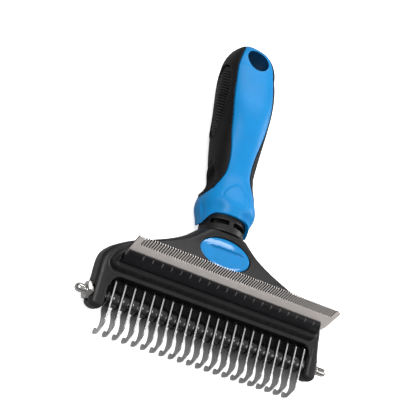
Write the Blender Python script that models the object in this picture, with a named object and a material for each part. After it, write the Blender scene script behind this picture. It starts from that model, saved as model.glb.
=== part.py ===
"""Undercoat rake: a two-sided grooming head on a moulded handle.

The tool lies on its back. World X runs along the blade rod, +Y points from the hooks to the
handle's end, and +Z is the front, where the comb and the button are. Four frames carry the
parts:

  tool   along the handle: y is the distance along its axis, z the height over that axis
  head   on the rod's axis, canted from the handle: y up the blades, z out of the front
  comb   on the clamp bar's upper edge: y towards the tooth tips, z out of the clamp bar
  button on the neck's face: z out of the face, against the way it is pressed

Every size below is in millimetres and becomes metres when a mesh is made.
"""

import math

import bmesh
import bpy
from mathutils import Matrix, Vector
from mathutils.geometry import tessellate_polygon

MM = 0.001
GAP = 0.3  # between neighbouring pieces

# Frames
REST_TILT = 3.755  # lifts the handle's end until hooks and guard both touch the table
CANT = 10.4  # head against handle
ROD_ALONG, ROD_HEIGHT = -0.5, 2.74  # rod axis in the tool frame
COMB_TILT = 60.0  # comb plane against the blades
COMB_FOOT, COMB_RISE = 18.7, 14.04  # comb frame's origin in the head frame

# Rake: blades, spacers and rod
BLADES = 22
PITCH = 4.7
BLADE_THICK = 0.6
BLADE_TOP, BLADE_FRONT, BLADE_BACK = 8.3, 4.2, -3.5
TOE_Y, TOE_Z, TOE_R = -14.8, -5.6, 1.45
ROD_R, BORE_R = 2.0, 2.2
SPACER_R = 3.9
ROD_END = 65.5
NECK_R, NECK_AT, NECK_LONG = 1.6, 58.9, 1.3
NUT_FLATS, NUT_THICK = 7.5, 5.2
LEFT_NUT_FACE, RIGHT_NUT_FACE = 60.8, 58.3

# Head frame
ARM_IN, ARM_OUT = 52.0, 58.25
ARM_HALF_DEPTH = 4.95
LOBE_BOTTOM = -6.8
MOUTH_TOP, MOUTH_FILLET = 9.2, 4.5
CURTAIN_LOW, CURTAIN_BACK, CURTAIN_THICK = -3.0, -4.92, 0.75
NECK_TOP = 46.0
TANG_HALF_WIDE, TANG_HALF_DEEP, TANG_END = 6.5, 4.3, 74.0

# Comb
SLOTS = 81
SLOT_PITCH, SLOT_WIDE = 1.23, 0.6
SLOT_ROOT, TOOTH_TIP = 5.7, 11.1
COMB_HALF, COMB_FOOT_U = 52.4, -6.2
COMB_BACK, COMB_FACE = -0.9, -0.1
CLAMP_FACE, CLAMP_TOP = 1.5, 1.3
CLAMP_HALF_LOW, CLAMP_HALF_HIGH = 51.8, 50.2
PEDESTAL_HALF, PEDESTAL_ROUND = 55.2, 3.4

# Button and its spring, in a frame on the neck's face whose z is straight up at rest
BUTTON_Y, BUTTON_Z = 35.8, 8.6
BUTTON_HALF_X, BUTTON_HALF_Y = 13.2, 7.6
BUTTON_UNDER, BUTTON_RIM, BUTTON_CROWN = -3.8, -0.5, 1.1
BUTTON_TRAVEL = 2.0
POCKET_FLOOR = -6.0
SPRING_LOW, SPRING_HIGH = -8.6, -1.6
SPRING_R, WIRE_R, SPRING_TURNS = 2.7, 0.38, 4.5

# Collar
COLLAR_HALF_X, COLLAR_HALF_Z, COLLAR_WALL = 11.2, 9.6, 1.6
COLLAR_LOW, COLLAR_HIGH = 46.6, 56.0
WINDOW_LOW, WINDOW_HIGH = 50.0, 52.4
WINDOW_IN, WINDOW_OUT = 1.1, 9.2

# Handle: stations along the axis with half width, front height and back depth
STATIONS = (
    (46.0, 11.9, 10.3, 10.2),
    (53.5, 12.7, 11.1, 10.9),
    (60.0, 14.4, 12.9, 11.8),
    (68.0, 12.7, 11.4, 11.2),
    (77.0, 10.9, 9.4, 9.7),
    (90.0, 11.7, 11.0, 12.2),
    (106.0, 13.1, 14.1, 13.2),
    (122.0, 14.4, 12.8, 12.5),
    (136.0, 14.0, 10.0, 11.2),
)
CAP_START, HANDLE_END = 136.0, 153.3
ROUNDNESS = 2.5  # superellipse exponent of a handle section
SQUARER, SQUARE_FROM, SQUARE_TO = 3.1, 100.0, 118.0  # the front's, towards the end
SKIN = 2.8  # thickness of the soft grip
SKIRT_HIGH, SKIRT_DROP = 54.6, 6.4
PANEL_EDGE = (
    (66.2, 15.0),
    (67.5, 11.6),
    (69.5, 10.0),
    (72.0, 8.6),
    (77.0, 6.6),
    (83.0, 6.2),
    (90.0, 7.0),
    (98.0, 8.6),
    (107.0, 9.8),
    (116.0, 10.4),
    (126.0, 10.3),
    (137.0, 9.6),
    (145.0, 8.0),
    (151.0, 5.4),
    (157.0, 2.0),
)
PANEL_FLOOR = 1.5
GUARD_LINE = ((-18.0, 64.0), (0.0, 64.0), (3.4, 64.7), (5.8, 65.8), (7.5, 66.8), (18.0, 66.8))
HOLE_Y, HOLE_R, TUBE_R = 142.4, 6.1, 7.4
PAD_Y, PAD_Z, PAD_LONG, PAD_WIDE, PAD_TURN = 117.5, -0.8, 19.3, 8.0, 6.5
PAD_FACE, PAD_BACK = 0.7, 1.9  # depths under the skin
SCOOP_X, SCOOP_Y, SCOOP_Z, SCOOP_LEAN = 16.0, 73.2, -1.5, -0.165
SCOOP_RADII = (6.0, 13.6, 10.8)


# Materials


def material(name, color, roughness, metallic=0.0):
    made = bpy.data.materials.new(name)
    made.use_nodes = True
    shader = made.node_tree.nodes["Principled BSDF"]
    shader.inputs["Base Color"].default_value = (*color, 1.0)
    shader.inputs["Roughness"].default_value = roughness
    shader.inputs["Metallic"].default_value = metallic
    made.diffuse_color = (*color, 1.0)
    return made


# Mesh helpers


def mesh_object(name, verts, faces, look, parent=None, smooth=35.0):
    """A named object from points in millimetres, with its faces turned outwards."""
    mesh = bpy.data.meshes.new(name)
    shape = bmesh.new()
    points = [shape.verts.new(Vector(v) * MM) for v in verts]
    for face in faces:
        shape.faces.new([points[i] for i in face])
    bmesh.ops.recalc_face_normals(shape, faces=shape.faces)
    shape.to_mesh(mesh)
    shape.free()
    mesh.shade_smooth()
    mesh.set_sharp_from_angle(angle=math.radians(smooth))
    return place(name, mesh, look, parent)


def place(name, mesh, look, parent=None):
    """A new object that holds this mesh."""
    if look and not mesh.materials:
        mesh.materials.append(look)
    made = bpy.data.objects.new(name, mesh)
    bpy.context.scene.collection.objects.link(made)
    made.parent = parent
    return made


def empty(name, parent=None):
    made = bpy.data.objects.new(name, None)
    bpy.context.scene.collection.objects.link(made)
    made.parent = parent
    return made


def helper(made):
    """Marks a cutter or a guide, which is not a piece of the tool."""
    made.hide_render = True
    made.display_type = "WIRE"
    return made


def boolean(target, other, operation="DIFFERENCE"):
    step = target.modifiers.new(f"{operation.lower()}_{other.name}", "BOOLEAN")
    step.operation = operation
    step.solver = "EXACT"
    step.object = other


def bevel(target, width, segments=2, angle=40.0):
    step = target.modifiers.new("edges", "BEVEL")
    step.width = width * MM
    step.segments = segments
    step.limit_method = "ANGLE"
    step.angle_limit = math.radians(angle)


def loft(name, rings, look, parent=None):
    """A solid through closed rings of equal count, capped at both ends."""
    count = len(rings[0])
    verts = [p for ring in rings for p in ring]
    faces = [list(range(count)), [len(verts) - count + i for i in range(count)]]
    for row in range(len(rings) - 1):
        for i in range(count):
            j = (i + 1) % count
            low, high = row * count, (row + 1) * count
            faces.append([low + i, low + j, high + j, high + i])
    return mesh_object(name, verts, faces, look, parent)


def plate(name, outline, low, high, look, parent=None, hole=None, axes=(0, 1, 2)):
    """A flat piece: an outline, with one hole if given, extruded from low to high.

    axes says which coordinates the outline's two numbers and the thickness take.
    """
    loops = [outline] + ([hole] if hole else [])
    flat = [[Vector((a, b, 0.0)) for a, b in loop] for loop in loops]
    triangles = tessellate_polygon(flat)
    count = sum(len(loop) for loop in loops)
    verts = []
    for level in (low, high):
        for loop in loops:
            for a, b in loop:
                point = [0.0, 0.0, 0.0]
                point[axes[0]], point[axes[1]], point[axes[2]] = a, b, level
                verts.append(point)
    faces = [list(t) for t in triangles] + [[i + count for i in t] for t in triangles]
    start = 0
    for loop in loops:
        for i in range(len(loop)):
            j = (i + 1) % len(loop)
            a, b = start + i, start + j
            faces.append([a, b, b + count, a + count])
        start += len(loop)
    return mesh_object(name, verts, faces, look, parent)


def arc(center, radius, start, end, steps):
    """Points on a circle from one angle to another, in degrees."""
    turns = [math.radians(start + (end - start) * i / steps) for i in range(steps + 1)]
    return [(center[0] + radius * math.cos(t), center[1] + radius * math.sin(t)) for t in turns]


def oval(half_x, half_y, steps=40):
    turns = [math.tau * i / steps for i in range(steps)]
    return [(half_x * math.cos(t), half_y * math.sin(t)) for t in turns]


def smooth_between(rows, steps):
    """Rows of numbers with a Catmull-Rom curve drawn through them."""
    ends = [rows[0]] + list(rows) + [rows[-1]]
    found = []
    for a, b, c, d in zip(ends, ends[1:], ends[2:], ends[3:]):
        for i in range(steps):
            t = i / steps
            weights = (
                -0.5 * t + t * t - 0.5 * t**3,
                1 - 2.5 * t * t + 1.5 * t**3,
                0.5 * t + 2 * t * t - 1.5 * t**3,
                -0.5 * t * t + 0.5 * t**3,
            )
            found.append([sum(w * v for w, v in zip(weights, four)) for four in zip(a, b, c, d)])
    found.append(list(rows[-1]))
    return found


def lathe(profile, sides):
    """Rings round the X axis from (x, radius) pairs."""
    turns = [math.tau * i / sides for i in range(sides)]
    return [[(x, r * math.cos(t), r * math.sin(t)) for t in turns] for x, r in profile]


# Rake blades, spacers, rod and nuts


def blade_outline():
    """One blade from the side, as (y up the blade, z to the front)."""
    top = BLADE_TOP
    front = [(top, 2.2), (top - 0.4, 3.4), (top - 1.6, BLADE_FRONT), (-8.6, BLADE_FRONT)]
    heel = [(-10.6, 3.9), (-12.3, 2.9), (-13.8, 1.5), (-15.2, -0.4), (-16.1, -2.4)]
    toe = arc((TOE_Y, TOE_Z), TOE_R, 200, 420, 12)
    inner = [(-14.0, -3.1), (-13.3, -2.2), (-12.0, -1.7), (-10.0, -1.8), (-8.0, -2.5)]
    back = [(-6.2, -3.8), (-5.2, -4.3), (-4.2, -4.2), (-3.2, BLADE_BACK), (top, BLADE_BACK)]
    return front + heel + [(y, z) for y, z in toe] + inner + back


def build_rake(head, steel, black):
    bore = arc((0.0, 0.0), BORE_R, 360, 15, 23)
    first = None
    for index in range(BLADES):
        x = (index - (BLADES - 1) / 2) * PITCH
        name = f"rake_blade_{index + 1:02d}"
        if first is None:
            half = BLADE_THICK / 2
            first = plate(name, blade_outline(), -half, half, steel, head, bore, (1, 2, 0))
            made = first
        else:
            made = place(name, first.data, steel, head)
        made.location.x = x * MM
    long = PITCH - BLADE_THICK - 2 * GAP
    shared = None
    for index in range(BLADES + 1):
        x = (index - BLADES / 2) * PITCH
        name = f"spacer_{index + 1:02d}"
        if index in (0, BLADES):
            # The end spacers fill what is left between the last blade and the arm.
            edge = (BLADES - 1) / 2 * PITCH + BLADE_THICK / 2 + GAP
            reach = ARM_IN - GAP - edge
            made = spacer(name, reach, black, head)
            x = math.copysign(edge + reach / 2, x)
        elif shared is None:
            shared = made = spacer(name, long, black, head)
        else:
            made = place(name, shared.data, black, head)
        made.location.x = x * MM


def spacer(name, long, look, parent):
    """A barrel round the rod with a slightly raised middle."""
    half, waist = long / 2, long / 2 - 0.5
    profile = [(-half, BORE_R), (-half, SPACER_R - 0.5), (-waist, SPACER_R), (waist, SPACER_R)]
    profile += [(half, SPACER_R - 0.5), (half, BORE_R)]
    rings = lathe(profile, 20)
    count = len(rings[0])
    verts = [p for ring in rings for p in ring]
    faces = []
    for row in range(len(rings)):
        low, high = row * count, (row + 1) % len(rings) * count
        for i in range(count):
            j = (i + 1) % count
            faces.append([low + i, low + j, high + j, high + i])
    return mesh_object(name, verts, faces, look, parent)


def build_rod(head, chrome):
    dome = [(ROD_END - ROD_R * (1 - math.cos(a)), ROD_R * math.sin(a)) for a in (0.35, 0.8, 1.2)]
    left = [(-x, r) for x, r in dome] + [(-ROD_END + ROD_R, ROD_R)]
    after = NECK_AT + NECK_LONG
    groove = [(NECK_AT, ROD_R), (NECK_AT + 0.3, NECK_R), (after, NECK_R), (after + 0.3, ROD_R)]
    right = [(ROD_END - ROD_R, ROD_R)] + dome[::-1]
    loft("rake_rod", lathe(left + groove + right, 20), chrome, head)
    corner = NUT_FLATS / 2 / math.cos(math.radians(30))
    for name, side, face in (("nut_left", -1, LEFT_NUT_FACE), ("nut_right", 1, RIGHT_NUT_FACE)):
        hexagon = arc((0.0, 0.0), corner, 0, 300, 5)
        inner, outer = side * (face - NUT_THICK), side * face
        bore = arc((0.0, 0.0), BORE_R, 360, 15, 23)
        made = plate(name, hexagon, *sorted((inner, outer)), chrome, head, bore, (1, 2, 0))
        bevel(made, 0.4, 1, 50)


# Head frame


def frame_sections():
    """Rounded rectangles up the head and round into the neck, in the head frame."""
    top_y, top_z = tool_to_head(NECK_TOP, -0.1)
    rows = (
        (MOUTH_TOP, 0.0, 5.0, 58.3, 2.2, 0.0),
        (14.5, 0.0, 5.0, 58.3, 2.4, 0.0),
        (18.2, 0.0, 5.0, 57.6, 2.8, 0.0),
        (21.5, -0.15, 5.1, 55.2, 3.2, 0.0),
        (24.5, -0.5, 5.0, 51.0, 3.4, 0.0),
        (27.5, -1.2, 4.9, 45.5, 3.6, -1.0),
        (31.0, -3.0, 4.9, 37.0, 3.8, -3.0),
        (35.4, -5.6, 5.5, 27.4, 4.6, -5.0),
        (40.0, -9.0, 7.3, 19.4, 6.0, -8.0),
        (top_y, top_z, 9.0, 13.0, 7.5, -CANT),
    )
    return [
        rounded_ring((0.0, y, z), wide, deep, radius, tilt)
        for y, z, deep, wide, radius, tilt in smooth_between(rows, 2)
    ]


def rounded_ring(center, wide, deep, radius, tilt=0.0):
    """A rounded rectangle across the Y axis, given by its half sizes."""
    turn = Matrix.Rotation(math.radians(tilt), 3, "X")
    ring = []
    for corner, (sx, sz) in enumerate(((1, 1), (-1, 1), (-1, -1), (1, -1))):
        middle = (sx * (wide - radius), sz * (deep - radius))
        for px, pz in arc(middle, radius, 90 * corner, 90 * corner + 90, 5):
            ring.append(turn @ Vector((px, 0.0, pz)) + Vector(center))
    return ring


def tool_to_head(y, z):
    """A point of the tool frame's middle plane, in the head frame."""
    turn = math.radians(CANT)
    dy, dz = y - ROD_ALONG, z - ROD_HEIGHT
    return dy * math.cos(turn) + dz * math.sin(turn), dz * math.cos(turn) - dy * math.sin(turn)


def comb_to_head(u, w):
    """(z, y) in the head frame of a point in the comb frame."""
    turn = math.radians(COMB_TILT)
    y = COMB_FOOT + u * math.cos(turn) - w * math.sin(turn)
    return COMB_RISE + u * math.sin(turn) + w * math.cos(turn), y


def build_arm(name, side, black, parent):
    """One arm, from inside the bar down to its rounded lobe."""
    half = (ARM_OUT - ARM_IN) / 2
    lobe = [(LOBE_BOTTOM + 3.0 * (1 - math.sin(a)), 3.0 * (1 - math.cos(a))) for a in (1.5, 1.1, 0.7, 0.35)]
    rows = [(14.0, 0.4), (10.0, 0.0), (LOBE_BOTTOM + 3.0, 0.0)] + lobe[::-1]
    rings = []
    for y, inset in rows:
        wide, deep = half - inset, ARM_HALF_DEPTH - inset
        center = (side * (ARM_IN + half), y, 0.0)
        rings.append(rounded_ring(center, wide, deep, min(2.2, wide - 0.05)))
    return helper(loft(name, rings, black, parent))


def build_fillet(name, side, black, parent):
    """The rounded corner where the arm meets the bar."""
    round_off = arc((ARM_IN - MOUTH_FILLET, MOUTH_TOP - MOUTH_FILLET), MOUTH_FILLET, 0, 90, 6)
    outline = [(ARM_IN + 1.0, 4.0)] + round_off + [(ARM_IN - MOUTH_FILLET, 10.4), (ARM_IN + 1.0, 10.4)]
    deep = ARM_HALF_DEPTH - 0.25
    outline = [(side * x, y) for x, y in outline]
    return helper(plate(name, outline, -deep, deep, black, parent))


def pedestal(parent, black):
    """The raised bed under the clamp bar, with its ends rounded off."""
    lip = comb_to_head(COMB_FOOT_U - GAP - 0.6, CLAMP_FACE + 0.2)
    inner_lip = comb_to_head(COMB_FOOT_U + 0.4, CLAMP_FACE + 0.15)
    back = comb_to_head(-0.4, COMB_BACK + 0.2)
    profile = [(3.0, 10.4), (9.0, 12.3), (9.7, 13.2), lip, inner_lip, back, (5.6, 22.4), (3.0, 24.6)]
    anchor = Vector((3.0, 16.5))
    rings = []
    straight = PEDESTAL_HALF - PEDESTAL_ROUND
    ends = [(straight + PEDESTAL_ROUND * math.sin(a), math.cos(a)) for a in (1.35, 1.0, 0.6, 0.25, 0.0)]
    for x, size in [(-x, size) for x, size in ends] + ends[::-1]:
        ring = []
        for z, y in profile:
            spot = anchor + (Vector((z, y)) - anchor) * (0.35 + 0.65 * size)
            ring.append((x, spot.y, spot.x))
        rings.append(ring)
    return helper(loft("pedestal", rings, black, parent))


def comb_seat(parent):
    """The room for the blade and the clamp bar, cut out of the bed."""
    low, shelf = COMB_FOOT_U - GAP, COMB_BACK - GAP
    corners = [(low, shelf), (4.0, shelf), (4.0, 7.0), (low, 7.0)]
    outline = [comb_to_head(u, w) for u, w in corners]
    half = COMB_HALF + GAP
    return helper(plate("comb_seat", outline, -half, half, None, parent, None, (2, 1, 0)))


def build_frame(tool, head, press, black):
    frame = loft("head_frame", frame_sections(), black, head)
    for side, name in ((-1, "left"), (1, "right")):
        boolean(frame, build_arm(f"arm_{name}", side, black, head), "UNION")
        boolean(frame, build_fillet(f"fillet_{name}", side, black, head), "UNION")
    boolean(frame, pedestal(head, black), "UNION")
    low, high = CURTAIN_BACK, CURTAIN_BACK + CURTAIN_THICK
    sheet = [(x, y) for x, y in ((-1, CURTAIN_LOW), (1, CURTAIN_LOW), (1, 11.0), (-1, 11.0))]
    sheet = [(x * (ARM_IN + 1.5), y) for x, y in sheet]
    boolean(frame, helper(plate("curtain", sheet, low, high, black, head)), "UNION")

    tang = [(x, z) for x, z in ((-1, -1), (1, -1), (1, 1), (-1, 1))]
    tang = [(x * TANG_HALF_WIDE, z * TANG_HALF_DEEP) for x, z in tang]
    bar = plate("tang", tang, NECK_TOP - 3.0, TANG_END, black, tool, None, (0, 2, 1))
    bevel(bar, 1.0, 2)
    boolean(frame, helper(bar), "UNION")

    seat = comb_seat(head)
    boolean(frame, seat)
    shape = oval(BUTTON_HALF_X + GAP, BUTTON_HALF_Y + GAP)
    cuts = [plate("button_pocket", shape, POCKET_FLOOR, 8.0, None, press)]
    shape = oval(SPRING_R + WIRE_R + GAP, SPRING_R + WIRE_R + GAP, 24)
    cuts.append(plate("spring_bore", shape, SPRING_LOW, POCKET_FLOOR + 1.0, None, press))
    cuts.append(loft("rod_bore", lathe([(-70.0, BORE_R), (70.0, BORE_R)], 24), None, head))
    corner = (NUT_FLATS / 2 + GAP) / math.cos(math.radians(30))
    for name, side, face in (("left", -1, LEFT_NUT_FACE), ("right", 1, RIGHT_NUT_FACE)):
        floor = face - NUT_THICK - GAP
        hexagon = arc((0.0, 0.0), corner, 0, 300, 5)
        span = sorted((side * floor, side * 70.0))
        cuts.append(plate(f"nut_pocket_{name}", hexagon, *span, None, head, None, (1, 2, 0)))
    for cut in cuts:
        boolean(frame, helper(cut))
    return frame


# Comb blade and clamp bar


def comb_outline():
    points = [(-COMB_HALF + 1.2, COMB_FOOT_U), (-COMB_HALF, COMB_FOOT_U + 5.0)]
    points += arc((-COMB_HALF + 1.5, TOOTH_TIP - 1.5), 1.5, 180, 90, 4)
    for index in range(SLOTS):
        x = (index - (SLOTS - 1) / 2) * SLOT_PITCH
        low, high = x - SLOT_WIDE / 2, x + SLOT_WIDE / 2
        points += [(low, TOOTH_TIP), (low, SLOT_ROOT), (high, SLOT_ROOT), (high, TOOTH_TIP)]
    points += arc((COMB_HALF - 1.5, TOOTH_TIP - 1.5), 1.5, 90, 0, 4)
    points += [(COMB_HALF, COMB_FOOT_U + 5.0), (COMB_HALF - 1.2, COMB_FOOT_U)]
    return points


def build_comb(comb, steel, black):
    plate("comb_blade", comb_outline(), COMB_BACK, COMB_FACE, steel, comb)
    low, high = COMB_FOOT_U, CLAMP_TOP
    outline = [(-CLAMP_HALF_LOW, low), (-CLAMP_HALF_HIGH, high)]
    outline += [(CLAMP_HALF_HIGH, high), (CLAMP_HALF_LOW, low)]
    bar = plate("comb_clamp", outline, COMB_FACE + GAP, CLAMP_FACE, black, comb)
    bevel(bar, 0.35, 2)


# Button and spring


def build_button(press, blue, steel):
    rings = []
    for shrink, z in (
        (0.4, BUTTON_UNDER),
        (0.0, BUTTON_UNDER + 0.4),
        (0.0, BUTTON_RIM - 0.4),
        (0.4, BUTTON_RIM + 0.2),
        (1.8, BUTTON_RIM + 0.8),
        (4.4, BUTTON_CROWN - 0.2),
        (6.6, BUTTON_CROWN),
    ):
        ring = oval(BUTTON_HALF_X - shrink, BUTTON_HALF_Y - shrink)
        rings.append([(x, y, z) for x, y in ring])
    button = loft("button", rings, blue, press)
    well = oval(SPRING_R + WIRE_R + GAP, SPRING_R + WIRE_R + GAP, 24)
    boolean(button, helper(plate("spring_well", well, BUTTON_UNDER - 1.0, SPRING_HIGH, None, press)))

    low, high = SPRING_LOW + WIRE_R + 0.1, SPRING_HIGH - WIRE_R - 0.1
    steps = int(SPRING_TURNS * 16)
    rings = []
    for i in range(steps + 1):
        turn = math.tau * SPRING_TURNS * i / steps
        # The end turns lie flat, so the pitch eases in and out.
        ease = i / steps - math.sin(math.tau * i / steps) / math.tau * 0.6
        out = Vector((math.cos(turn), math.sin(turn), 0.0))
        center = out * SPRING_R + Vector((0.0, 0.0, low + (high - low) * ease))
        ring = []
        for k in range(7):
            a = math.tau * k / 7
            ring.append(center + out * WIRE_R * math.cos(a) + Vector((0, 0, WIRE_R * math.sin(a))))
        rings.append(ring)
    loft("button_spring", rings, steel, press)


# Handle


def handle_size(y):
    """Half width, front height and back depth of the handle at a station."""
    rows = smooth_between(STATIONS, 4)
    reach = min(max((y - CAP_START) / (HANDLE_END - CAP_START), 0.0), 1.0)
    y = min(max(y, rows[0][0]), CAP_START)
    for low, high in zip(rows, rows[1:]):
        if y <= high[0]:
            break
    share = (y - low[0]) / (high[0] - low[0])
    round_off = math.sqrt(1.0 - reach * reach)
    return [(a + (b - a) * share) * round_off for a, b in zip(low[1:], high[1:])]


def handle_ring(y, inset, sides=32):
    wide, front, back = (max(size - inset, 0.35) for size in handle_size(y))
    share = min(max((y - SQUARE_FROM) / (SQUARE_TO - SQUARE_FROM), 0.0), 1.0)
    ring = []
    for i in range(sides):
        turn = math.tau * (i + 0.5) / sides
        c, s = math.cos(turn), math.sin(turn)
        high = front if s > 0 else back
        power = 2.0 / (ROUNDNESS + (SQUARER - ROUNDNESS) * share if s > 0 else ROUNDNESS)
        x = math.copysign(abs(c) ** power, c) * wide
        if s > 0:
            # Straighter flanks under the squarer front.
            x *= 1.0 - 0.05 * share * math.sin(math.pi * abs(s) ** power)
        ring.append((x, y, math.copysign(abs(s) ** power, s) * high))
    return ring


def handle_loft(name, inset, start, look, parent):
    """The handle's outer skin moved inwards, as a solid from start to the rounded end."""
    rows = 18
    spots = [start + (CAP_START - start) * i / rows for i in range(rows)]
    end = HANDLE_END - inset
    spots += [CAP_START + (end - CAP_START) * math.sin(math.radians(a)) for a in range(0, 86, 17)]
    shrink = (HANDLE_END - CAP_START) / (end - CAP_START)
    rings = []
    for y in spots:
        # The rounded end keeps its shape when it moves in.
        source = y if y < CAP_START else CAP_START + (y - CAP_START) * shrink
        rings.append([(x, y, z) for x, _, z in handle_ring(source, inset)])
    return loft(name, rings, look, parent)


def edge_points(rows, offset):
    return [(x + offset, y) for y, x in smooth_between(rows, 2)]


def panel_prism(name, offset, parent):
    """The front panel's outline, drawn forwards through the skin."""
    right = edge_points(PANEL_EDGE, offset)
    left = [(-x, y) for x, y in right[::-1]]
    return helper(plate(name, right + left, PANEL_FLOOR, 20.0, None, parent))


def guard_prism(name, offset, parent):
    """All that lies below the guard's upper line, seen from the side."""
    line = [(z, y + offset) for z, y in smooth_between(GUARD_LINE, 2)]
    outline = [(-18.0, 40.0)] + line + [(18.0, 40.0)]
    return helper(plate(name, outline, -20.0, 20.0, None, parent, None, (2, 1, 0)))


def tube_post(name, radius, low, high, parent):
    turns = [math.tau * i / 32 for i in range(32)]
    rings = []
    for z in (low, high):
        rings.append([(radius * math.cos(t), HOLE_Y + radius * math.sin(t), z) for t in turns])
    return helper(loft(name, rings, None, parent))


def pad_prism(name, side, grow, parent):
    turn = Matrix.Rotation(math.radians(PAD_TURN), 2)
    outline = []
    for a, b in oval(PAD_LONG + grow, PAD_WIDE + grow, 36):
        y, z = turn @ Vector((a, b))
        outline.append((PAD_Y + y, PAD_Z + z))
    low, high = sorted((side * 6.0, side * 20.0))
    return plate(name, outline, low, high, None, parent, None, (1, 2, 0))


def build_handle(tool, blue, soft, rib):
    low = 44.0
    shell = helper(handle_loft("blue_shell", 0.0, low, blue, tool))
    keep = panel_prism("panel_region", -GAP / 2, tool)
    boolean(keep, guard_prism("guard_region", -GAP / 2, tool), "UNION")
    boolean(keep, tube_post("tube_region", TUBE_R, -20.0, 8.0, tool), "UNION")
    boolean(shell, keep, "INTERSECT")

    core = handle_loft("handle_core", SKIN + GAP, 57.0, blue, tool)
    boolean(core, shell, "UNION")
    arch = []
    for i in range(25):
        x = -15.0 + 1.25 * i
        arch.append((x, SKIRT_HIGH - SKIRT_DROP * min(abs(x) / 12.4, 1.02) ** 8))
    outline = [(-15.0, 30.0)] + arch + [(15.0, 30.0)]
    cuts = [plate("skirt_arch", outline, -20.0, 20.0, None, tool)]
    bell = oval(COLLAR_HALF_X + GAP, COLLAR_HALF_Z + GAP, 36)
    cuts.append(plate("bell", bell, 40.0, COLLAR_HIGH + GAP, None, tool, None, (0, 2, 1)))
    x, z = TANG_HALF_WIDE + GAP, TANG_HALF_DEEP + GAP
    socket = [(-x, -z), (x, -z), (x, z), (-x, z)]
    cuts.append(plate("socket", socket, 50.0, TANG_END + 1.0, None, tool, None, (0, 2, 1)))
    for cut in cuts:
        boolean(core, helper(cut))
    boolean(core, tube_post("hang_hole", HOLE_R, -25.0, 25.0, tool))

    grip = handle_loft("handle_grip", 0.0, 60.0, soft, tool)
    inner = helper(handle_loft("grip_inside", SKIN, 50.0, None, tool))
    boolean(grip, inner)
    boolean(grip, panel_prism("panel_cut", GAP / 2, tool))
    boolean(grip, guard_prism("guard_cut", GAP / 2, tool))
    boolean(grip, tube_post("tube_cut", TUBE_R + GAP, -25.0, 25.0, tool))
    for side, name in ((-1, "left"), (1, "right")):
        recess = helper(pad_prism(f"pad_recess_{name}", side, GAP, tool))
        boolean(recess, helper(handle_loft(f"recess_floor_{name}", PAD_BACK + GAP, 80.0, None, tool)))
        boolean(grip, recess)
        rings = []
        for a in range(-80, 81, 20):
            size, rise = math.cos(math.radians(a)), math.sin(math.radians(a))
            ring = oval(SCOOP_RADII[0] * size, SCOOP_RADII[2] * size, 20)
            y = SCOOP_RADII[1] * rise
            x = side * (SCOOP_X + SCOOP_LEAN * y)
            rings.append([(x + p, SCOOP_Y + y, SCOOP_Z + q) for p, q in ring])
        boolean(grip, helper(loft(f"finger_scoop_{name}", rings, None, tool)))
        pad = pad_prism(f"grip_pad_{name}", side, 0.0, tool)
        pad.data.materials.append(rib)
        face = helper(handle_loft(f"pad_face_{name}", PAD_FACE, 90.0, None, tool))
        back = helper(handle_loft(f"pad_back_{name}", PAD_BACK, 80.0, None, tool))
        boolean(pad, face, "INTERSECT")
        boolean(pad, back)


def build_collar(tool, black):
    rings = []
    for inset, y in ((0.4, COLLAR_LOW), (0.0, COLLAR_LOW + 0.6), (0.0, COLLAR_HIGH - 0.5), (0.4, COLLAR_HIGH)):
        ring = oval(COLLAR_HALF_X - inset, COLLAR_HALF_Z - inset, 36)
        rings.append([(x, y, z) for x, z in ring])
    collar = loft("neck_collar", rings, black, tool)
    bore = oval(COLLAR_HALF_X - COLLAR_WALL, COLLAR_HALF_Z - COLLAR_WALL, 36)
    cuts = [plate("collar_bore", bore, COLLAR_LOW - 2.0, COLLAR_HIGH + 2.0, None, tool, None, (0, 2, 1))]
    for side, name in ((-1, "left"), (1, "right")):
        low, high = sorted((side * WINDOW_IN, side * WINDOW_OUT))
        window = [(low, WINDOW_LOW), (high, WINDOW_LOW), (high, WINDOW_HIGH), (low, WINDOW_HIGH)]
        cuts.append(plate(f"window_{name}", window, -16.0, 16.0, None, tool))
    for cut in cuts:
        boolean(collar, helper(cut))


# Assembly


def settle(tool):
    """Sets the tool down: lowest points on z = 0, middle of its length at y = 0."""
    bpy.context.view_layer.update()
    graph = bpy.context.evaluated_depsgraph_get()
    corners = []
    for piece in bpy.data.objects:
        if piece.type != "MESH" or piece.hide_render:
            continue
        evaluated = piece.evaluated_get(graph)
        corners += [evaluated.matrix_world @ v.co for v in evaluated.data.vertices]
    low = min(p.z for p in corners)
    ends = [p.y for p in corners]
    tool.location += Vector((0.0, -(min(ends) + max(ends)) / 2, -low))


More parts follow.
